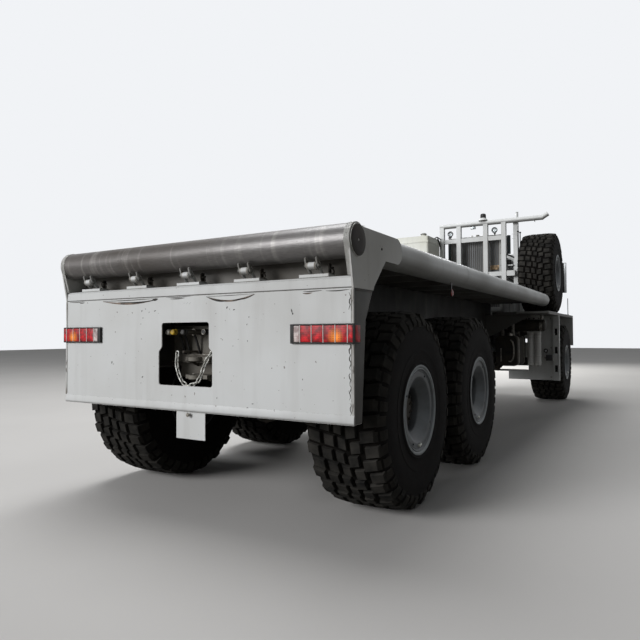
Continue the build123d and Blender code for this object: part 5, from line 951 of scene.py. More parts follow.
def cheeks():
    """Edge strips of the cheek plates round the roller, its end caps, plugs, flanges and seams."""
    cap = [(1693, 123), (1698, 125), (1704, 124), (1707, 118), (1708, 60), (1708, 14), (1702, 6), (1701, 0)]
    arc = [math.radians(200 - index * 10) for index in range(15)]
    profile = [(3, 2073), (-3, 2073),
               *((ROLLER_Y + 140 * math.cos(angle), ROLLER_Z + 140 * math.sin(angle)) for angle in arc),
               (ROLLER_Y + 150, ROLLER_Z + 128)]
    for name, side in SIDES:
        strip, caps, dark = parts(3)
        edges = [[strip.verts.new((side * x, y, z)) for y, z in profile] for x in (1645, 1694)]
        bridge(strip, edges, closed=False)
        bmesh.ops.solidify(strip, geom=list(strip.faces), thickness=3)
        turned(caps, [(side * x, r) for x, r in cap], (0, ROLLER_Y, ROLLER_Z), RIGHT, 72)
        for x, radius in ((1699, 125), (1646, 136.5)):
            ring(caps, (side * x, ROLLER_Y, ROLLER_Z), RIGHT, radius, 2.5, 72, 8, layer=1)
        plug = [(0, 0), (0, 11), (4, 10), (5, 4), (3, 0)]
        turned(caps, plug, (side * BODY_HALF, 520, 2330), (side, 0, 0), 16)
        # The flanges, seam and weld below are laid in dark grey enamel: painted shade on white-painted steel.
        plate(dark, [(13, 936), (143, 936), (219, 1734), (343, 1970), (13, 1970)], "X",
              side * 1683, side * 1686.5, 1)
        box(dark, side * 1684, side * 1690, 13, 30, 936, 1960, 2)
        box(dark, side * 1684, side * 1692, 16, 330, 1958, 1968, 3)
        weld(dark, (side * 1687, 24, 1972), (side * 1687, 350, 1972), 4)
        finish_piece(f"cheek_edge_strip_{name}", strip, "white_paint", DIVIDER, smooth=50)
        finish_piece(f"roller_end_cap_{name}", caps, "bare_steel", SHADED_CAP_STEEL, ZINC)
        finish_piece(f"cheek_flange_trim_{name}", dark, "grey_paint", SHADED_FLANGE_GREY)


def beam_brackets():
    """Pins, sheaves, washers and welds on the five brackets, the lashing chain ends behind them, and a
    painted shadow on the beam's shelf and back wall.
    """
    steel, sheaves, dark, grime_and_shade = parts(4)
    pin_y, pin_z, beam_z = 4, 2162, 2099
    half_sheave = [(43, 12), (43, 30), (38, 33), (30, 32), (26, 28)]
    sheave = [(-x, r) for x, r in half_sheave] + half_sheave[::-1]
    ear = [(-11, 2152), (19, 2152), (-8, 2226), (-22, 2229), (-33, 2222)]
    for x in range(-1330, 1331, 665):
        for sign in (-1, 1):
            plate(steel, ear, "X", x + sign * 43.5, x + sign * 58.5, 3)
            rod(steel, (x + sign * 56, pin_y, pin_z), (x + sign * 68, pin_y, pin_z), 15, 16, 3)
            ring(steel, (x + sign * 63, pin_y, pin_z), RIGHT, 19, 2.5, 20, 8)
            rod(steel, (x + sign * 51, -6, 2196), (x + sign * 51, 14, 2196), 9, 12, 4)
            weld(steel, (x + sign * 60, 46, beam_z), (x + sign * 60, 92, beam_z), 4)
            weld(steel, (x + sign * 134, 20, beam_z), (x + sign * 134, 122, beam_z), 4)
        turned(sheaves, sheave, (x, pin_y, pin_z), RIGHT, 32)
        weld(steel, (x - 132, 19, 2072), (x + 132, 19, 2072), 4)
        box(dark, x + 92, x + 104, 90, 128, 2098, 2186, 4)
        ring(dark, (x + 110, 78, 2142), (1, 0.5, 0.1), 27, 7, 24, 10)
        ring(dark, (x + 124, 92, 2122), (0.2, 1, 0.2), 22, 6, 24, 10)
        rod(dark, (x + 86, 108, 2150), (x + 132, 108, 2150), 8, 12)
    # Painted shadow: two thin dark sheets on the shelf and back wall of the tail beam, where the roller's
    # shadow falls.
    shelf_x = 1672
    box(grime_and_shade, -shelf_x, shelf_x, 227.5, 229.5, 2071, 2262, 0)
    box(grime_and_shade, -shelf_x, shelf_x, 150, 229, 2070.3, 2071.5, 0)
    finish_piece("shelf_back_painted_shadow", grime_and_shade, "white_paint", SHELF_SHADOW_GREY)
    finish_piece("bracket_pins_and_welds", steel, "white_paint", SHADE_WHITE)
    finish_piece("bracket_sheaves", sheaves, "white_paint", WORN_PALE)
    finish_piece("bracket_lashing_rings", dark, "cast_metal", IRON)


def coupling_details():
    """Air coupler heads, their caps and hoses, castle nut and edges inside the tail opening."""
    pale, yellow, dark, edge = parts(4)
    head = [(0, 0), (0, 17), (5, 24), (14, 27), (24, 27), (26, 22), (34, 20), (40, 27), (46, 28), (52, 24),
            (60, 14), (60, 0)]
    coupler_z, plate_y = 1650, 232
    for bm, x in ((pale, -290), (yellow, -225), (dark, -99), (dark, 156)):
        turned(bm, head, (x, 50, coupler_z), AHEAD, 32)
        box(bm, x - 30, x + 12, 56, 74, 1634, 1652, 5)
        rod(edge, (x, 110, coupler_z), (x, 200, coupler_z), 17, 16)
        bolt(edge, (x, 200, coupler_z), BACK, 42)
        hose(dark, ((x, 200, 1640), (x, 235, 1590), (x + 10, 262, 1500), (x + 14, 284, 1440)), 10)
    ring(edge, (156, 52, coupler_z), AHEAD, 22, 3, 32, 8)
    for z in (1437, 1363):
        box(edge, -400, 400, plate_y, plate_y + 14, z, z + 5, 2)
    for x in (-130, 130):
        for z in (1240, 1400):
            bolt(edge, (x, plate_y, z), BACK, 26)
    finish_piece("air_coupler_pale", pale, "zinc_steel", PALE_HOSE)
    finish_piece("air_coupler_yellow", yellow, "zinc_steel", YELLOW_CAP)
    finish_piece("air_couplers_and_hoses", dark, "zinc_steel", TRIM_BLACK)
    finish_piece("coupling_fittings", edge, "zinc_steel", DARK_ZINC)


def chain_knots(pitch, count):
    """Points a pitch apart along the curve on which the chain hangs between its two pins."""
    hang = ((-141, 1470), (-150, 1346), (-117, 1252), (-71, 1186), (8, 1164), (100, 1200), (151, 1276),
            (201, 1385), (276, 1470), (328, 1532))
    route = curve_points([(x, 36, z) for x, z in hang], 40)
    knots = route[:1]
    for before, after in zip(route, route[1:]):
        while (after - knots[-1]).length >= pitch and len(knots) < count:
            step = (after - before).normalized()
            spot = before.copy()
            while (spot - knots[-1]).length < pitch:
                spot += step * 0.25
            knots.append(spot)
    return knots


def hanging_chain():
    """Seventeen welded oval links of round wire that hang between the two pins."""
    bm = bmesh.new()
    wire, bend, straight, turns = 6.0, 15.5, 15.0, 24
    knots = chain_knots(49.3, 18)
    for index, (first, last) in enumerate(zip(knots, knots[1:])):
        centre, ahead = (first + last) / 2, (last - first).normalized()
        across = Vector(AHEAD) if index % 2 else ahead.cross(Vector(AHEAD))
        side = across.cross(ahead)
        loop = [centre + ahead * (math.copysign(straight, a) + a) + across * b
                for b, a in circle(bend, turns, 0.5)]
        rings = []
        for turn, point in enumerate(loop):
            tangent = (loop[(turn + 1) % turns] - loop[turn - 1]).normalized()
            out = side.cross(tangent)
            rings.append([bm.verts.new(point + out * a + side * b) for b, a in circle(wire, 10)])
        bridge(bm, rings + rings[:1])
    finish_piece("hanging_safety_chain", bm, "zinc_steel", ZINC, replaces=("safety_chain",))


tail_lamp_clusters()
tail_plate_details()
cheeks()
beam_brackets()
coupling_details()
hanging_chain()


# Guard frame, radiator, deck and what stands on it

def guard_lamps():
    """Two round work lamps on stems, the square lamp under the pipe and the domed beacon."""
    bm = bmesh.new()
    for x in (-513, 513):
        centre = (x, GUARD_Y, 3985)
        turned(bm, [(-30, 0), (-30, 38), (-22, 55), (0, 64), (24, 67), (30, 66), (30, 55), (24, 50),
                    (16, 49)], centre, BACK, 40)
        turned(bm, [(15, 49.5), (4, 40), (-8, 24), (-12, 0)], centre, BACK, 32, 1)
        turned(bm, [(16, 50), (21, 36), (24, 18), (25, 0)], centre, BACK, 32, 2)
        turned(bm, [(-12, 0), (-12, 7), (6, 8), (9, 0)], centre, BACK, 12, 1)
        rod(bm, (x, GUARD_Y, 3855), (x, GUARD_Y, 3922), 13, 16)
        rod(bm, (x, GUARD_Y, 3855), (x, GUARD_Y, 3866), 24, 6)
        box(bm, x - 24, x + 24, GUARD_Y + 2, GUARD_Y + 10, 3900, 3926, 2)
        cable = ((0, 28, 3970), (6, 40, 3930), (4, 30, 3880), (2, 24, 3846))
        hose(bm, [(x + dx, GUARD_Y + dy, z) for dx, dy, z in cable], 4, 10, 8)
    box(bm, -560, -536, GUARD_Y - 22, GUARD_Y + 10, 3868, 3922, 2)
    box(bm, -36, 74, GUARD_Y - 28, GUARD_Y + 30, 4056, 4115, 6)
    box(bm, -30, 68, GUARD_Y - 31, GUARD_Y - 26, 4061, 4110, 4, 2)
    box(bm, -27, 65, GUARD_Y - 28.5, GUARD_Y - 27, 4064, 4107, 3, 1)
    beacon = (256, GUARD_Y, 0)
    turned(bm, [(4225, 0), (4225, 104), (4231, 105), (4244, 98), (4262, 78), (4276, 68), (4287, 64),
                (4288, 0)], beacon, UP, 48, 3)
    turned(bm, [(4286, 62), (4288, 66), (4299, 66), (4302, 62), (4354, 62), (4376, 56), (4388, 38),
                (4392, 14), (4392, 0)], beacon, UP, 48)
    for index in range(4):
        ring(bm, (256, GUARD_Y, 4312 + index * 11), UP, 61.5, 2.2, 48, 6)
    finish_piece("work_lamps_and_beacon", bm, "dark_trim", TRIM_BLACK, MIRROR_SILVER, LAMP_GLASS, WHITE,
                 replaces=("guard_lamps",))


def guard_feet(bm):
    """Foot plates with their bolts, and the welds up the posts."""
    top = DECK_Z + 14
    for x in (-715, -310, 310, 715, 950):
        box(bm, x - 85, x + 85, GUARD_Y - 85, GUARD_Y + 70, DECK_Z, top, 3)
        for dx in (-68, 68):
            for dy in (-68, 54):
                bolt(bm, (x + dx, GUARD_Y + dy, top), UP, 22)
        for dx in (-54, 54):
            weld(bm, (x + dx, GUARD_Y - 52, top), (x + dx, GUARD_Y + 52, top), 5)
        for z in (3036, 3756, 3856):
            weld(bm, (x - 50, GUARD_Y - 33, z), (x + 50, GUARD_Y - 33, z), 4)


def guard_pipes(dark, teal):
    """Hoses on the hoist beam, the coolant pipe, the intake pipe and the levers by it."""
    pipe_y = 9540
    hose(dark, ((-748, 8960, 3850), (-744, 9100, 3890), (-744, 9330, 3876), (-752, 9352, 3868)), 13)
    hose(dark, ((-744, 9110, 3885), (-742, 9230, 3800), (-742, 9320, 3700), (-744, 9352, 3640)), 15)
    hose(teal, ((-585, pipe_y, 2470), (-585, pipe_y, 3000), (-588, pipe_y, 3700), (-586, 9545, 3800),
                (-584, 9575, 3838), (-584, 9601, 3842)), 30, 30, 16)
    rod(teal, (790, pipe_y, 3440), (790, pipe_y, 3862), 42, 24)
    rod(dark, (790, pipe_y, 3180), (790, pipe_y, 3300), 50, 24)
    tube(dark, [(-690, 9470, z) for z in range(2500, 3800, 100)], 7, 8)
    hose(dark, ((740, 9500, 3425), (820, 9500, 3395), (905, 9470, 3350)), 17, 8)
    for x, top in ((1012, 3900), (1058, 3870)):
        rod(dark, (x, 9460, 3060), (x, 9460, top), 11, 10)
        turned(dark, [(top, 0), (top + 6, 22), (top + 30, 24), (top + 40, 0)], (x, 9460, 0), UP, 16)


def guard_details():
    """Feet, welds, hose rail, hoist end, hooks and pipes on the guard frame, and the platform posts."""
    bm, dark, teal = parts(3)
    guard_feet(bm)
    for x in (-880, -500, 0, 500):
        loop = ((-45, 32, 2950), (-45, 66, 2912), (0, 72, 2896), (45, 66, 2912), (45, 32, 2950))
        hose(bm, [(x + dx, GUARD_Y - dy, z) for dx, dy, z in loop], 8, 12)
    end = (1659, GUARD_Y, 4239.5)
    ahead = (120, 0, 70)
    turned(dark, [(2.2, 0), (2.2, 40), (1.2, 43), (0.4, 43), (0.4, 0)], end, ahead, 40)
    turned(bm, [(0, 43), (3, 44), (3, 49), (0, 50)], end, ahead, 40)
    turned(dark, [(4335, 0), (4335, 26), (4341, 27), (4341, 0)], (1010, GUARD_Y, 0), UP, 24)
    ring(dark, (1380, GUARD_Y, 4107), (1, 0, 0.4), 22, 5, 24, 8)
    rod(dark, (1380, GUARD_Y, 4112), (1380, GUARD_Y, 4128), 14, 12)
    guard_pipes(dark, teal)
    box(bm, 980, 1000, 9420, 9475, 3060, 3090, 3)
    box(bm, 1000, 1075, 9448, 9472, 3056, 3084, 3)
    box(bm, 700, 900, 9428, 9590, 3155, 3182, 3)
    for side in (-1, 1):
        x = side * 1700
        rod(dark, (x, 12100, PLATFORM_TOP_Z), (x, 12100, PLATFORM_TOP_Z + 440), 9, 10)
        box(dark, x - 18, x + 18, 12082, 12118, PLATFORM_TOP_Z, PLATFORM_TOP_Z + 30, 4)
    finish_piece("coolant_and_intake_pipes", teal, "dark_trim", PIPE_TEAL)
    finish_piece("guard_plates_and_welds", bm, "white_paint", WHITE)
    finish_piece("guard_dark_fittings", dark, "dark_trim", TRIM_BLACK)


def radiator():
    """Radiator with its painted frame, header tank, finned core, cap, hoses, bolts and a tan card."""
    bm, fittings = parts(2)
    face, back, top = RADIATOR_Y, RADIATOR_Y + 220, 3800
    for side in (-1, 1):
        box(bm, side * 560, side * 620, face, back, 2130, top, 8)
        box(bm, side * 340, side * 440, face, back, 1721, 2130, 4)
        for index in range(12):
            bolt(bm, (side * 590, face, 2200 + index * 142), BACK, 18)
        rod(bm, (side * 470, 9815, 3700), (side * 470, 9850, 3700), 42, 24)
    box(bm, -620, 620, face, back, top, 3920, 30)
    box(bm, -560, 560, 9612, 9810, 2130, 2240, 12)
    box(bm, -560, 560, 9629, 9800, 2240, top, 0, 1)
    for index in range(25):
        x = -540 + index * 45
        box(bm, x - 9, x + 9, 9611, 9630, 2242, 3798, 0, 2)
    box(fittings, 350, 556, 9604, 9611, 3105, 3205, 1, 1)
    turned(fittings, [(3918, 0), (3918, 34), (3930, 34), (3932, 42), (3956, 42), (3962, 36), (3965, 0)],
           (42, 9710, 0), UP, 32)
    box(fittings, -110, -70, 9690, 9730, 3919, 3944, 5)
    rod(fittings, (-90, 9710, 3940), (-90, 9710, 3962), 10, 12)
    hose(fittings, ((42, 9668, 3932), (30, 9640, 3932), (8, 9626, 3900), (0, 9604, 3820)), 5, 12, 8)
    finish_piece("framed_radiator", bm, "white_paint", SHADE_WHITE, FIN, SHADED_PANEL_GREY, replaces=("radiator",))
    finish_piece("radiator_cap_and_overflow", fittings, "zinc_steel", DARK_ZINC, PALE_TAN)


def deck_tank_details():
    """Filler cap, sight gauge, ladder, seams, drain and outlet pipe of the cream tank."""
    bm, dark, seams = parts(3)
    left, right, back, front = -1550, -760, TANK_BACK_Y, TANK_FRONT_Y
    turned(bm, [(3885, 62), (3900, 62), (3902, 72), (3912, 74), (3920, 66), (3922, 20), (3921, 0)],
           (-910, 8650, 0), UP, 40)
    hose(bm, ((-960, 8650, 3910), (-945, 8650, 3932), (-875, 8650, 3932), (-860, 8650, 3910)), 6, 10, 8)
    for z in (2720, 3240, 3700):
        for y in (back - 3, front):
            box(seams, left - 3, right + 3, y, y + 3, z, z + 45, 1)
        for x in (left - 3, right):
            box(seams, x, x + 3, back - 3, front + 3, z, z + 45, 1)
    for x in (left - 2, right + 2):
        for y in (back - 2, front + 2):
            weld(seams, (x, y, 2495), (x, y, 3845), 4)
    ladder_x, stiles = left - 12, (8560, 8780)
    for y in stiles:
        rod(bm, (ladder_x, y, 2560), (ladder_x, y, 3780), 12, 12)
    for z in range(2680, 3701, 255):
        rod(bm, (ladder_x, stiles[0], z), (ladder_x, stiles[1], z), 10, 12)
    for z in (2620, 3720):
        for y in stiles:
            box(bm, left - 16, left + 2, y - 12, y + 12, z - 12, z + 12, 3)
    rod(dark, (ladder_x, 9190, 2640), (ladder_x, 9190, 3690), 9, 12)
    for z in (2630, 3680):
        box(dark, left - 18, left + 2, 9172, 9208, z, z + 40, 4)
    rod(dark, (-1480, 8492, 2540), (-1480, 8440, 2540), 22, 16)
    rod(dark, (-1480, 8462, 2540), (-1480, 8462, 2600), 8, 12)
    box(dark, -1510, -1450, 8456, 8468, 2600, 2612, 3)
    turned(dark, [(3846, 0), (3846, 26), (3876, 26), (3880, 34), (3892, 34), (3898, 0)],
           (-1420, 9200, 0), UP, 24)
    for y in (8560, 9280):
        for x in (-1500, -810):
            box(bm, x - 50, x + 50, y - 40, y + 40, DECK_Z, DECK_Z + 36, 3)
            bolt(bm, (x + 36, y, DECK_Z + 37), UP, 20)
    finish_piece("deck_tank_seams", seams, "cream_paint", CREAM)
    finish_piece("deck_tank_cap_and_ladder", bm, "white_paint", SHADE_WHITE)
    finish_piece("deck_tank_gauge_and_valve", dark, "zinc_steel", DARK_ZINC)


def winch_details():
    """Wire rope on the drum, its flange bolts, and the gear case with its plugs."""
    rope, bolts, gear = parts(3)
    axle = (0, WINCH_Y, WINCH_Z)
    wire, turns, lay_r, reach = 12, 41, 128, 492
    profile = [(-505, 116)]
    for index in range(turns):
        along = -reach + index * 2 * reach / (turns - 1)
        for step in range(6):
            angle = math.pi * step / 5
            profile.append((along - wire * math.cos(angle), lay_r + wire * math.sin(angle)))
    turned(rope, [*profile, (505, 116)], axle, RIGHT, 40)
    for side in (-1, 1):
        for dy, dz in circle(150, 12):
            bolt(bolts, (side * 583, WINCH_Y + dy, WINCH_Z + dz), (side, 0, 0), 9)
    turned(gear, [(592, 0), (592, 150), (606, 156), (650, 150), (664, 120), (668, 84), (742, 80), (748, 84),
                  (760, 84), (764, 60), (766, 0)], axle, RIGHT, 40)
    for dy, dz in circle(138, 10):
        bolt(gear, (608, WINCH_Y + dy, WINCH_Z + dz), RIGHT, 18)
    box(gear, 600, 700, WINCH_Y - 70, WINCH_Y + 70, DECK_Z + 1, 2560, 6)
    rod(gear, (716, WINCH_Y, 2735), (716, WINCH_Y, 2775), 18, 16)
    rod(gear, (740, WINCH_Y - 35, 2725), (740, WINCH_Y - 35, 2768), 14, 16)
    for side in (-1, 1):
        for dy in (-220, 220):
            bolt(gear, (side * 560, WINCH_Y + dy, DECK_Z + 26), UP, 26)
    finish_piece("winch_rope", rope, "bare_steel", ROPE, body="winch_drum")
    finish_piece("winch_flange_bolts", bolts, "zinc_steel", DARK_ZINC, body="winch_drum")
    finish_piece("winch_gear_case", gear, "cast_metal", IRON)


def deck_details():
    """Seams and flush lashing pots of the deck plates, and the rails' end caps and bands."""
    seams, pots, bands = parts(3)
    for y in range(1500, 8401, 1150):
        box(seams, -1390, 1390, y, y + 8, DECK_Z - 1, DECK_Z + 1.5, 0)
    for x in (-470, 470):
        box(seams, x - 4, x + 4, 340, 7950, DECK_Z - 1, DECK_Z + 1.5, 0)
    for side in (-1, 1):
        x = side * 1280
        for y in range(1000, 7251, 1250):
            box(pots, x - 50, x + 50, y - 70, y + 70, DECK_Z - 1, DECK_Z + 3, 1)
            ring(pots, (x, y, DECK_Z + 6), (0.05, 0.2, 1), 40, 7, 28, 10)
            box(pots, x - 18, x + 18, y + 32, y + 56, DECK_Z + 2, DECK_Z + 14, 3)
        rail = (side * RAIL_X, 0, RAIL_Z)
        turned(bands, [(9348, 0), (9348, 130), (9351, 133), (9353, 128), (9354, 0)], rail, AHEAD, 56)
        for y in (3150, 6150):
            turned(bands, [(y, 136), (y + 1, 138.5), (y + 7, 138.5), (y + 8, 136)], rail, AHEAD, 56)
    finish_piece("deck_plate_seams", seams, "white_paint", SCRAPE_DARK)
    finish_piece("deck_lashing_pots", pots, "zinc_steel", DARK_ZINC)
    finish_piece("deck_rail_welds_and_caps", bands, "white_paint", WHITE)


def hood_details():
    """Louvres, seams, locks and handles of the engine hood."""
    bm, dark = parts(2)
    wall = 619
    for side in (-1, 1):
        for y in (9990, 10380, 10770):
            for index in range(11):
                z = 2480 + index * 66
                louvre = ((wall, z), (wall + 15, z + 6), (wall + 15, z + 12), (wall, z + 44))
                plate(bm, [(side * x, height) for x, height in louvre], "Y", y, y + 270, 2)
            box(dark, side * (wall - 1), side * (wall + 4), y - 50, y - 44, 2110, 3420, 0)
            for z in (2330, 3300):
                box(bm, side * wall, side * (wall + 11), y + 110, y + 160, z, z + 64, 4)
                rod(dark, (side * (wall + 9), y + 135, z + 32), (side * (wall + 21), y + 135, z + 32), 16, 16)
        handle = ((10120, 3478), (10120, 3520), (10360, 3520), (10360, 3478))
        hose(bm, [(side * 480, y, z) for y, z in handle], 9, 14)
    finish_piece("hood_louvres_and_handles", bm, "white_paint", WHITE)
    finish_piece("hood_seams_and_locks", dark, "dark_trim", TRIM_BLACK)


guard_lamps()
guard_details()
radiator()
deck_tank_details()
winch_details()
deck_details()
hood_details()


# Side platforms, tanks and steps

def rounded(x0, x1, z0, z1, corner, steps=6):
    """Outline of a rectangle with round corners."""
    points = []
    middles = ((x1 - corner, z1 - corner), (x0 + corner, z1 - corner), (x0 + corner, z0 + corner),
               (x1 - corner, z0 + corner))
    for quarter, (x, z) in enumerate(middles):
        for step in range(steps + 1):
            angle = math.radians(90 * (quarter + step / steps))
            points.append((x + corner * math.cos(angle), z + corner * math.sin(angle)))
    return points


def side_tank(bm, x0, x1, y0, y1, z0, z1, corner, layer):
    """Rounded tank with end rims, straps, hangers, filler cap and drain plug."""
    middle = (x0 + x1) / 2
    plate(bm, rounded(x0 + 6, x1 - 6, z0 + 6, z1 - 6, corner - 6), "Y", y0, y1, 5, layer)
    for y in (y0 + 14, y1 - 28):
        plate(bm, rounded(x0 + 1, x1 - 1, z0 + 1, z1 - 1, corner), "Y", y, y + 14, 4, layer)
    for y in (y0 + 150, y1 - 210):
        plate(bm, rounded(x0, x1, z0, z1, corner), "Y", y, y + 60, 1, 2)
        for x in (x0 + 120, x1 - 120):
            box(bm, x - 25, x + 25, y, y + 60, z1 - 4, 2050, 2, 2)
    cap = [(z1 + rise, r) for rise, r in ((-8, 0), (-8, 52), (22, 52), (24, 60), (44, 60), (50, 40), (50, 0))]
    turned(bm, cap, (middle + 60, y0 + 90, 0), UP, 32, 2)
    rod(bm, (middle, y0 + 300, z0 + 8), (middle, y0 + 300, z0 - 8), 18, 12, 2, 2)


def filters(bm):
    """Two ribbed filter cylinders under a head block on a bracket, with their hoses."""
    filter_y = 9640
    for x in (1218, 1372):
        ribs = [(912, 0), (912, 50), (922, 66), (940, 68)]
        for z in range(972, 1541, 142):
            ribs += [(z, 68), (z + 3, 74), (z + 22, 74), (z + 25, 68)]
        turned(bm, [*ribs, (1600, 68), (1606, 72), (1640, 72), (1640, 0)], (x, filter_y, 0), UP, 40)
        rod(bm, (x, filter_y, 900), (x, filter_y, 914), 16, 6, 2, 2)
        hose(bm, ((x, 9600, 1716), (x, 9600, 1800), (x - 20, 9580, 1880), (x - 100, 9560, 1915),
                  (x - 260, 9540, 1900)), 18, 20, 14, 4)
        ring(bm, (x, 9600, 1742), UP, 19, 5, 24, 8, 2)
    box(bm, 1150, 1440, 9572, 9708, 1640, 1720, 14)
    box(bm, 1150, 1440, filter_y, filter_y + 12, 1718, 2030, 3)
    for x in (1190, 1295, 1400):
        bolt(bm, (x, filter_y - 1, 1960), BACK, 26, 2)
        bolt(bm, (x, filter_y, 1721), UP, 22, 2)


def air_cylinder(bm):
    """Compressed-air cylinder across the frame, with domed ends, bands, hangers and drain."""
    axle = (0, 9301, 1800)
    left_end = [(700, 0), (702, 60), (716, 105), (742, 126), (760, 130)]
    profile = left_end + [(2300 - x, r) for x, r in reversed(left_end)]
    turned(bm, profile, axle, RIGHT, 44, 1)
    for x in (760, 1480):
        turned(bm, [(x, 128), (x, 133), (x + 60, 133), (x + 60, 128)], axle, RIGHT, 44, 2)
        box(bm, x, x + 60, 9271, 9331, 1925, 2050, 3, 2)
    rod(bm, (1150, 9301, 1672), (1150, 9301, 1655), 12, 10, 2, 2)
    for x in (860, 1440):
        ring(bm, (x, *axle[1:]), RIGHT, 130, 3, 40, 6, 1)


def side_tanks():
    """Fuel tank on the left, oil tank with its sight glass, filters and air cylinder on the right."""
    bm = bmesh.new()
    side_tank(bm, -1550, -810, 8851, 10001, 1230, 1890, 120, 5)
    side_tank(bm, 640, 1100, 8808, 9708, 930, 1580, 90, 1)
    for z in (1040, 1300):
        rod(bm, (760, 8806, z), (760, 8790, z), 14, 12, 2, 2)
    rod(bm, (760, 8793, 1040), (760, 8793, 1300), 8, 10, 1, 2)
    hose(bm, ((920, 8802, 1030), (975, 8780, 1040), (1020, 8775, 1120), (1030, 8775, 1260),
              (1016, 8778, 1420), (960, 8800, 1490)), 15, 24, 12, 4)
    filters(bm)
    air_cylinder(bm)
    finish_piece("side_tanks_and_filters", bm, "grey_paint", FILTER_PALE, IRON, DARK_ZINC, SHADE_WHITE,
                 PALE_HOSE, FRAME_GREY, replaces=("side_tanks",))


def step_details():
    """Junction box lid, horn, step treads, platform lips, grab irons and reflectors."""
    dark, pale, red = parts(3)
    post = 1630
    box(dark, post - 146, post - 6, 10004, 10012, 1006, 1144, 5)
    for x in (post - 132, post - 20):
        for z in (1020, 1130):
            bolt(dark, (x, 10004, z), BACK, 12)
    turned(pale, [(0, 0), (0, 17), (26, 17), (30, 12), (42, 12), (44, 0)], (post - 150, 10070, 1074),
           (-1, 0, 0), 20)
    turned(dark, [(0, 20), (4, 46), (10, 50), (14, 46), (8, 20), (6, 0)], (post - 150, 10019, 1232), BACK, 32)
    iron_y = 11420
    iron = ((1252, 2330), (1300, 2350), (1302, 2400), (1302, 3150), (1300, 3200), (1252, 3220))
    for side in (-1, 1):
        for z in (760, 1120, 1480):
            for y in range(10260, 10431, 34):
                box(dark, side * 1660, side * 1752, y, y + 16, z, z + 5, 1)
        for y0, y1 in ((8652, 10000), (11200, 12605)):
            box(pale, side * 1735, side * 1761, y0, y1, PLATFORM_TOP_Z - 2, PLATFORM_TOP_Z + 5, 3)
        box(pale, side * 1120, side * 1759, 8646, 8652, 2044, 2088, 4)
        for y in (8900, 9400, 9900, 11400, 12000):
            bolt(pale, (side * 1720, y, PLATFORM_TOP_Z), UP, 20)
        hose(pale, [(side * x, iron_y, z) for x, z in iron], 13, 24, 12)
        box(dark, side * 1590, side * 1600, 2690, 2720, 2060, 2225, 2)
        turned(red, [(-2, 0), (-2, 40), (4, 42), (9, 36), (11, 14), (11, 0)], (side * 1601, 2705, 2100),
               (side, 0, 0), 24)
        for x, z in ((1590, 1965), (1590, 1300), (1590, 640), (1000, 1965)):
            bolt(pale, (side * x, 10010, z), BACK, 24)
    finish_piece("junction_box_horn_and_treads", dark, "dark_trim", TRIM_BLACK)
    finish_piece("platform_lips_and_grab_irons", pale, "white_paint", SHADE_WHITE)
    finish_piece("side_reflectors", red, "lamp_plastic", RED_CAP)


side_tanks()
step_details()


# Cab

def take_form(form):
    """Mesh that a form has after its modifiers, which are then taken off."""
    graph = bpy.context.evaluated_depsgraph_get()
    mesh = bpy.data.meshes.new_from_object(form.evaluated_get(graph))
    form.modifiers.clear()
    return mesh


def swell(form):
    """Blows a form up with cloth pressure, by no more than 16 mm at any point."""
    most = 0.016
    firsts = [vertex.co.copy() for vertex in form.data.vertices]
    cloth = form.modifiers.new("swell", "CLOTH")
    cloth.settings.use_pressure = True
    cloth.settings.uniform_pressure_force = 4
    cloth.settings.effector_weights.gravity = 0
    cloth.settings.quality = 6
    cloth.collision_settings.use_collision = False
    for number in range(1, 21):
        bpy.context.scene.frame_set(number)
    swollen = take_form(form)
    bpy.context.scene.frame_set(1)
    for vertex, first in zip(swollen.vertices, firsts):
        shift = vertex.co - first
        if shift.length > most:
            vertex.co = first + shift * (most / shift.length)
    form.data = swollen


def cushion_mesh(name, half, corner, channel_x):
    """Crowned foam cushion of a half size about its middle: swollen, then its seams and channels."""
    bm = bmesh.new()
    box(bm, -half.x, half.x, -half.y, half.y, -half.z, half.z, 0)
    bmesh.ops.bevel(bm, geom=list(bm.edges), offset=corner, segments=4, affect="EDGES", profile=0.6,
                    clamp_overlap=True)
    form = bpy.data.objects.new(name + "_form", mesh_from(name, bm, ()))
    bpy.context.scene.collection.objects.link(form)
    remesh = form.modifiers.new("even_faces", "REMESH")
    remesh.mode = "VOXEL"
    remesh.voxel_size = 0.012
    form.data = take_form(form)
    swell(form)
    form.modifiers.new("finer_faces", "SUBSURF").levels = 1
    fine = take_form(form)
    bpy.data.objects.remove(form)

    def groove(distance, deep, wide):
        """Depth of a soft groove at a distance from its middle."""
        return deep * math.exp(-(distance / wide) ** 2)

    limit = (half + Vector((12, 8, 12))) * MM
    for vertex in fine.vertices:
        x, y, z = vertex.co / MM
        depths = [groove(x - place, 9, 9) for place in (-channel_x, channel_x)]
        if abs(x) < 150:
            depths += [groove(y - place, 7, 8) for place in (-half.y * 0.34, half.y * 0.34)]
        if z > 0:
            vertex.co.z -= max(depths) * MM
        flat = Vector((vertex.co.x, vertex.co.y, 0))
        vertex.co -= flat.normalized() * groove(z - half.z * 0.42, 5, 6) * MM
        for axis in range(3):
            vertex.co[axis] = max(-limit[axis], min(limit[axis], vertex.co[axis]))
    for face in fine.polygons:
        face.use_smooth = True
    fine.materials.append(CLOTH)
    return fine


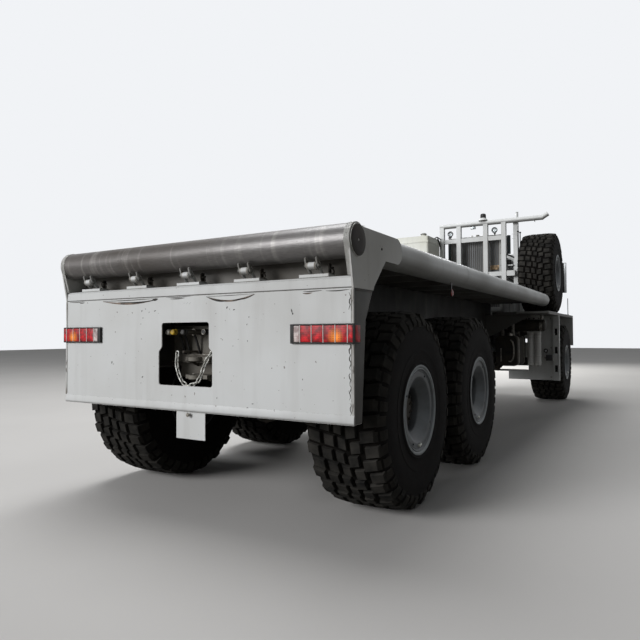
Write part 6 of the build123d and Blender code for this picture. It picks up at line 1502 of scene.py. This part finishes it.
def seat_base(name, x):
    """Floor plate, bellows, pan, back shell, slides and adjusting bar of one seat."""
    bm = bmesh.new()
    box(bm, x - 200, x + 200, 11531, 11931, 2170, 2200, 10)
    for level in range(7):
        narrow, z = level % 2 * 10, 2200 + level * 31
        box(bm, x - 180 + narrow, x + 180 - narrow, 11550 + narrow, 11912 - narrow, z, z + 29, 12)
    box(bm, x - 232, x + 232, 11480, 11970, 2426, 2462, 12)
    box(bm, x - 200, x + 200, 11408, 11440, 2462, 3150, 10)
    for side in (-1, 1):
        rod(bm, (x + side * 236, 11880, 2440), (x + side * 236, 11960, 2440), 14, 14)
        rod(bm, (x + side * 150, 11531, 2184), (x + side * 150, 11960, 2184), 12, 12)
    bar = ((-180, 11985, 2440), (-180, 12000, 2430), (180, 12000, 2430), (180, 11985, 2440))
    hose(bm, [(x + dx, y, z) for dx, y, z in bar], 8, 20)
    finish_piece(f"seat_base_{name}", bm, "dark_trim", SOFT_BLACK)


def seats():
    """Cushions, backs and bases of the two seats."""
    cushion = cushion_mesh("seat_cushion", Vector((240, 252, 50)), 34, 150)
    back = cushion_mesh("seat_back", Vector((222, 300, 46)), 34, 140)
    lean = math.atan2(90, 630)
    upright = Matrix.Rotation(math.radians(90) + lean, 4, "X") @ Matrix.Rotation(math.pi, 4, "Z")
    for name, side in SIDES:
        x = side * 620
        places = (("seat_cushion", cushion, Matrix.Translation(station(x, 11722, 2524))),
                  ("seat_back", back, Matrix.Translation(station(x, 11508, 2912)) @ upright))
        for kind, mesh, at in places:
            piece = place_piece(f"{kind}_{name}", mesh, at=at)
        seat_base(name, x)


def dials(face):
    """Plain dials with pale faces and red hands, and two rows of switches."""
    axis = Vector((0, -0.93, -0.37))
    for x, radius in ((-740, 44), (-620, 52), (-500, 44), (-820, 24), (-420, 24)):
        centre = Vector((x, 12594, 2745))
        bezel = [(-4, 0), (-4, radius), (6, radius), (8, radius - 4), (3, radius - 8), (3, 0)]
        turned(face, bezel, centre, axis, 32)
        turned(face, [(3.2, 0), (3.2, radius - 9), (3.6, radius - 9), (3.6, 0)], centre, axis, 32, 1)
        tip = centre + axis * 4.5 + Vector((radius * 0.5, 0, radius * 0.3))
        rod(face, centre + axis * 4, tip, 1.6, 8, 0, 2)
    for y, z in ((12568, 2716), (12602, 2652)):
        for x in range(-240, 225, 58):
            box(face, x, x + 40, y, 12606, z, z + 36, 5)


def steering_wheel(face):
    """Rim, boss, three spokes, column and stalks."""
    centre, axis = Vector((-620, 12410.7, 2860)), Vector((0, -0.6, 0.8))
    ring(face, centre, axis, 235, 16, 72, 16)
    turned(face, [(-30, 0), (-30, 36), (-20, 46), (14, 46), (24, 34), (26, 0)], centre, axis, 32)
    tilt = axis_frame(centre, axis).to_3x3()
    for y, x in circle(1, 3, 0.75):
        way = tilt @ Vector((x, y, 0))
        rod(face, centre + way * 34 - axis * 4, centre + way * 226, 11, 14)
    rod(face, centre, (-620, 12640, 2630), 30, 20)
    for side in (-1, 1):
        rod(face, centre - axis * 60, centre - axis * 66 + Vector((side * 170, 10, 12)), 8, 10)


def dashboard():
    """Dashboard with its cowl, dials, vents, radio panel, wheel, pedals and levers."""
    bm, face = parts(2)
    outline = [(12890, 2420), (12700, 2470), (12600, 2700), (12560, 2786), (12572, 2806), (12630, 2830),
               (12890, 2772)]
    plate(bm, outline, "X", -1090, 1090, 8)
    cowl = [(12540, 2806), (12552, 2846), (12640, 2872), (12820, 2840), (12820, 2822), (12640, 2850),
            (12562, 2828), (12556, 2802)]
    plate(bm, cowl, "X", -900, -330, 4)
    dials(face)
    for x in (-980, 980, 420, 150):
        box(face, x - 70, x + 70, 12574, 12592, 2748, 2790, 6)
        for z in range(2754, 2783, 7):
            box(face, x - 62, x + 62, 12570, 12578, z, z + 3, 1)
    box(face, 560, 940, 12622, 12640, 2560, 2680, 8)
    rod(face, (720, 12616, 2620), (780, 12616, 2620), 8, 10)
    steering_wheel(face)
    for x in (-760, -600, -500):
        box(face, x - 36, x + 36, 12560, 12574, 2240, 2330, 5)
        rod(face, (x, 12576, 2320), (x, 12640, 2460), 10, 10)
    for x, lean in ((-180, 60), (-90, 20), (0, -20)):
        foot, knob = (x, 11900, 2172), (x, 11900 + lean, 2560)
        rod(face, foot, knob, 10, 12)
        turned(face, [(0, 0), (4, 20), (18, 27), (34, 22), (42, 0)], knob, UP, 20)
        turned(face, [(0, 46), (8, 44), (30, 22), (54, 14)], foot, UP, 20)
    finish_piece("dashboard_shell", bm, "dark_trim", SOFT_BLACK, replaces=("cab_interior",))
    finish_piece("dashboard_dials_and_wheel", face, "dark_trim", TRIM_BLACK, DIVIDER, RED_CAP)


def grille(dark, pale):
    """Slanted slats and upright bars in a pale frame."""
    left, right, face = -640, 640, 12950
    for z in range(1860, 2401, 54):
        plate(dark, [(12946, z), (12958, z + 8), (12958, z + 16), (12946, z + 30)], "X", -600, 600, 2)
    for x in (-400, -200, 0, 200, 400):
        box(dark, x - 5, x + 5, 12944, 12960, 1856, 2440, 2)
    for z in (1832, 2436):
        box(pale, left, right, face, face + 14, z, z + 14, 5)
    for x in (left, right - 14):
        box(pale, x, x + 14, face, face + 14, 1832, 2450, 5)


def headlamp(dark, lamps, side):
    """Twin headlamp in its housing, with the amber turn signal beside it."""
    x = side * 1230
    box(dark, x - 180, x + 180, 13046, 13110, 1038, 1222, 8)
    radius = 66
    for dx in (-85, 62):
        spot = (x + side * dx, LAMP_FACE_Y, LAMP_Z)
        turned(lamps, [(0, radius), (12, radius + 3), (16, radius), (14, radius - 6)], spot, AHEAD, 36)
        turned(lamps, [(-40, 0), (-34, 24), (-6, 52), (10, radius - 6)], spot, AHEAD, 36, 2)
        turned(lamps, [(10, radius - 5), (14, 40), (16, 0)], spot, AHEAD, 36, 3)
    box(lamps, x + side * 136, x + side * 172, 13104, 13121, 1060, 1200, 6, 1)


def cab_side(dark, pale, side):
    """Bumper seams, door seams, hinge pins, step bracket and towing ring on one side."""
    for z in (980, 1300):
        box(dark, side * 1180, side * 1560, 13108, 13116, z, z + 16, 3)
    for y in (DOOR_BACK_Y, DOOR_FRONT_Y):
        box(dark, side * 1249, side * 1253, y - 5, y + 5, 2195, 3535, 1)
    box(dark, side * 1249, side * 1253, DOOR_BACK_Y, DOOR_FRONT_Y, 2187, 2195, 1)
    hinge_x, hinge_y = side * 1262, 12440
    for z in (2450, 3300):
        rod(dark, (hinge_x, hinge_y, z - 55), (hinge_x, hinge_y, z + 55), 11, 12)
    box(pale, side * 1216, side * 1242, 12700, 12720, 2120, 2170, 4)
    ring(dark, (side * 980, 13138, LAMP_Z), UP, 40, 12, 28, 10)


def cab_outside():
    """Roof lamps, wipers, grille, headlamps, bumper and door seams, door furniture and mirror glass."""
    dark, pale, lamps = parts(3)
    for x in (-1000, -500, 0, 500, 1000):
        plate(lamps, [(12640, 3649), (12720, 3649), (12712, 3676), (12664, 3682)], "X", x - 55, x + 55, 5, 1)
        box(dark, x - 62, x + 62, 12630, 12730, 3646, 3654, 2)
    for x in (-540, 60):
        rod(dark, (x, 12920, 2800), (x, 12952, 2806), 14, 14)
        rod(dark, (x, 12950, 2806), (x + 380, 12926, 3020), 7, 10)
        rod(dark, (x + 190, 12938, 2980), (x + 560, 12926, 3050), 6, 10)
    grille(dark, pale)
    for side in (-1, 1):
        headlamp(dark, lamps, side)
        cab_side(dark, pale, side)
    box(dark, -1230, 1230, 12934, 12944, 2486, 2494, 1)
    finish_piece("cab_seals_wipers_and_grille", dark, "dark_trim", TRIM_BLACK)
    finish_piece("grille_frame_and_brackets", pale, "white_paint", DIVIDER)
    finish_piece("head_and_marker_lamps", lamps, "lamp_plastic", ZINC, AMBER_LENS, MIRROR_SILVER, LAMP_GLASS,
                 replaces=("front_lamps",))
    for name, side in SIDES:
        bm, glass = parts(2)
        box(bm, side * 1254, side * 1262, 11660, 11800, 2640, 2710, 6)
        handle = ((1262, 11675, 2690), (1284, 11690, 2690), (1284, 11770, 2690), (1262, 11785, 2690))
        hose(bm, [(side * x, y, z) for x, y, z in handle], 8, 12)
        for z in (2330, 2780):
            box(bm, side * 1252, side * 1257, 11620, 12400, z, z + 6, 1)
        for z in (2420, 3320):
            box(bm, side * 1250, side * 1264, 12420, 12455, z, z + 90, 5)
        finish_piece(f"door_handle_and_hinges_{name}", bm, "dark_trim", TRIM_BLACK, body=f"door_{name}")
        pane = ((1578, 2716), (1622, 2716), (1622, 3474), (1578, 3474))
        plate(glass, [(side * x, z) for x, z in pane], "Y", 12446, 12452, 2)
        finish_piece(f"mirror_glass_{name}", glass, "glass", MIRROR_SILVER)


seats()
dashboard()
cab_outside()


# Chassis

def axle_details():
    """Cover bolts, brake chambers, drain plugs and brake pipes on the axles."""
    bm, pipes = parts(2)
    chamber = [(0, 0), (0, 60), (8, 78), (40, 84), (46, 92), (56, 92), (62, 84), (96, 78), (112, 40),
               (114, 0)]
    for y, way in ((REAR_AXLE_Y, 1), (MIDDLE_AXLE_Y, 1), (FRONT_AXLE_Y, -1)):
        for dz, dx in circle(200, 12):
            bolt(bm, (dx, y - way * 116, HUB_Z + dz), (0, -way, 0), 22)
        rod(bm, (0, y, HUB_Z - 238), (0, y, HUB_Z - 252), 18, 6)
        if y == FRONT_AXLE_Y:
            continue
        for side in (-1, 1):
            x = side * 640
            turned(bm, chamber, (x, y - 250, HUB_Z + 60), AHEAD, 32)
            rod(bm, (x, y - 140, HUB_Z + 60), (x, y - 30, HUB_Z + 60), 12, 12)
            box(bm, x - 14, x + 14, y - 160, y - 90, HUB_Z - 20, HUB_Z + 80, 4)
            pipe = ((0, 245, 100), (20, 260, 240), (100, 250, 420), (190, 240, 470))
            hose(pipes, [(x - side * dx, y - dy, HUB_Z + dz) for dx, dy, dz in pipe], 8, 16, 8)
    finish_piece("axle_cover_bolts_and_brakes", bm, "cast_metal", IRON)
    finish_piece("brake_pipes", pipes, "dark_trim", HOSE_RUBBER)


def spring_details():
    """U-bolts over the springs, with their nuts."""
    clips = bmesh.new()
    for spring_x in (-490, 490):
        for axle_y in (REAR_AXLE_Y, MIDDLE_AXLE_Y, FRONT_AXLE_Y):
            for y in (axle_y - 70, axle_y + 70):
                for x in (spring_x - 58, spring_x + 58):
                    rod(clips, (x, y, HUB_Z + 96), (x, y, HUB_Z + 250), 12, 12)
                    rod(clips, (x, y, HUB_Z + 98), (x, y, HUB_Z + 122), 21, 6)
    finish_piece("spring_u_bolts", clips, "zinc_steel", DARK_ZINC)


def rail_details():
    """Rivets, brake pipes and their clips along the frame rails."""
    bm, pipes = parts(2)
    for side in (-1, 1):
        x = side * 440
        for y in range(700, 12401, 300):
            for z in (1400, 1640):
                turned(bm, [(0, 0), (0, 15), (7, 12), (10, 5), (10, 0)], (x, y, z), (side, 0, 0), 10)
        for offset, z in ((14, 1560), (16, 1530), (13, 1500)):
            tube(pipes, [(x + side * offset, y, z) for y in (600, 4000, 8000, 12300)], 6, 8)
        for y in range(900, 11821, 840):
            box(bm, x, x + side * 26, y, y + 24, 1486, 1574, 2)
    finish_piece("rail_rivets_and_clips", bm, "frame_paint", FRAME_GREY)
    finish_piece("rail_brake_pipes", pipes, "dark_trim", HOSE_RUBBER)


axle_details()
spring_details()
rail_details()


# CAD nodes that stay, and their finishes

NODE_FINISHES = (
    (FRAME_GREY, ("frame_rails", "cross_members")), (LIT_CHEEK_WHITE, ("tail_side_plates",)),
    (WHITE, ("tail_plate", "tail_beam", "deck_rails", "guard_frame", "engine_hood", "arch_panels", "bumper",
             "cab_floor", "cab_back", "cab_front", "cab_sides", "cab_roof", "door_left", "door_right")),
    (SHADE_WHITE, ("spare_carrier", "winch_frame")), (CREAM, ("deck_tank",)),
    (COUPLING_GREY, ("tow_coupling",)),
    (ROLLER_STEEL, ("tail_roller",)), (BARE_STEEL, ("winch_drum",)), (DECK_PLATE, ("deck",)),
    (TREAD_PLATE, ("platforms",)), (ENGINE_IRON, ("power_block",)), (SPRING_STEEL, ("leaf_springs",)),
    (IRON, ("propshafts", "tie_rod", "axle_housings", "knuckle_left", "knuckle_right")),
    (TRIM_BLACK, ("front_grille", "mirrors")), (GLASS, ("cab_glass", "door_glass_left", "door_glass_right")),
)
for material, nodes in NODE_FINISHES:
    for node in nodes:
        finish_node(node, material)
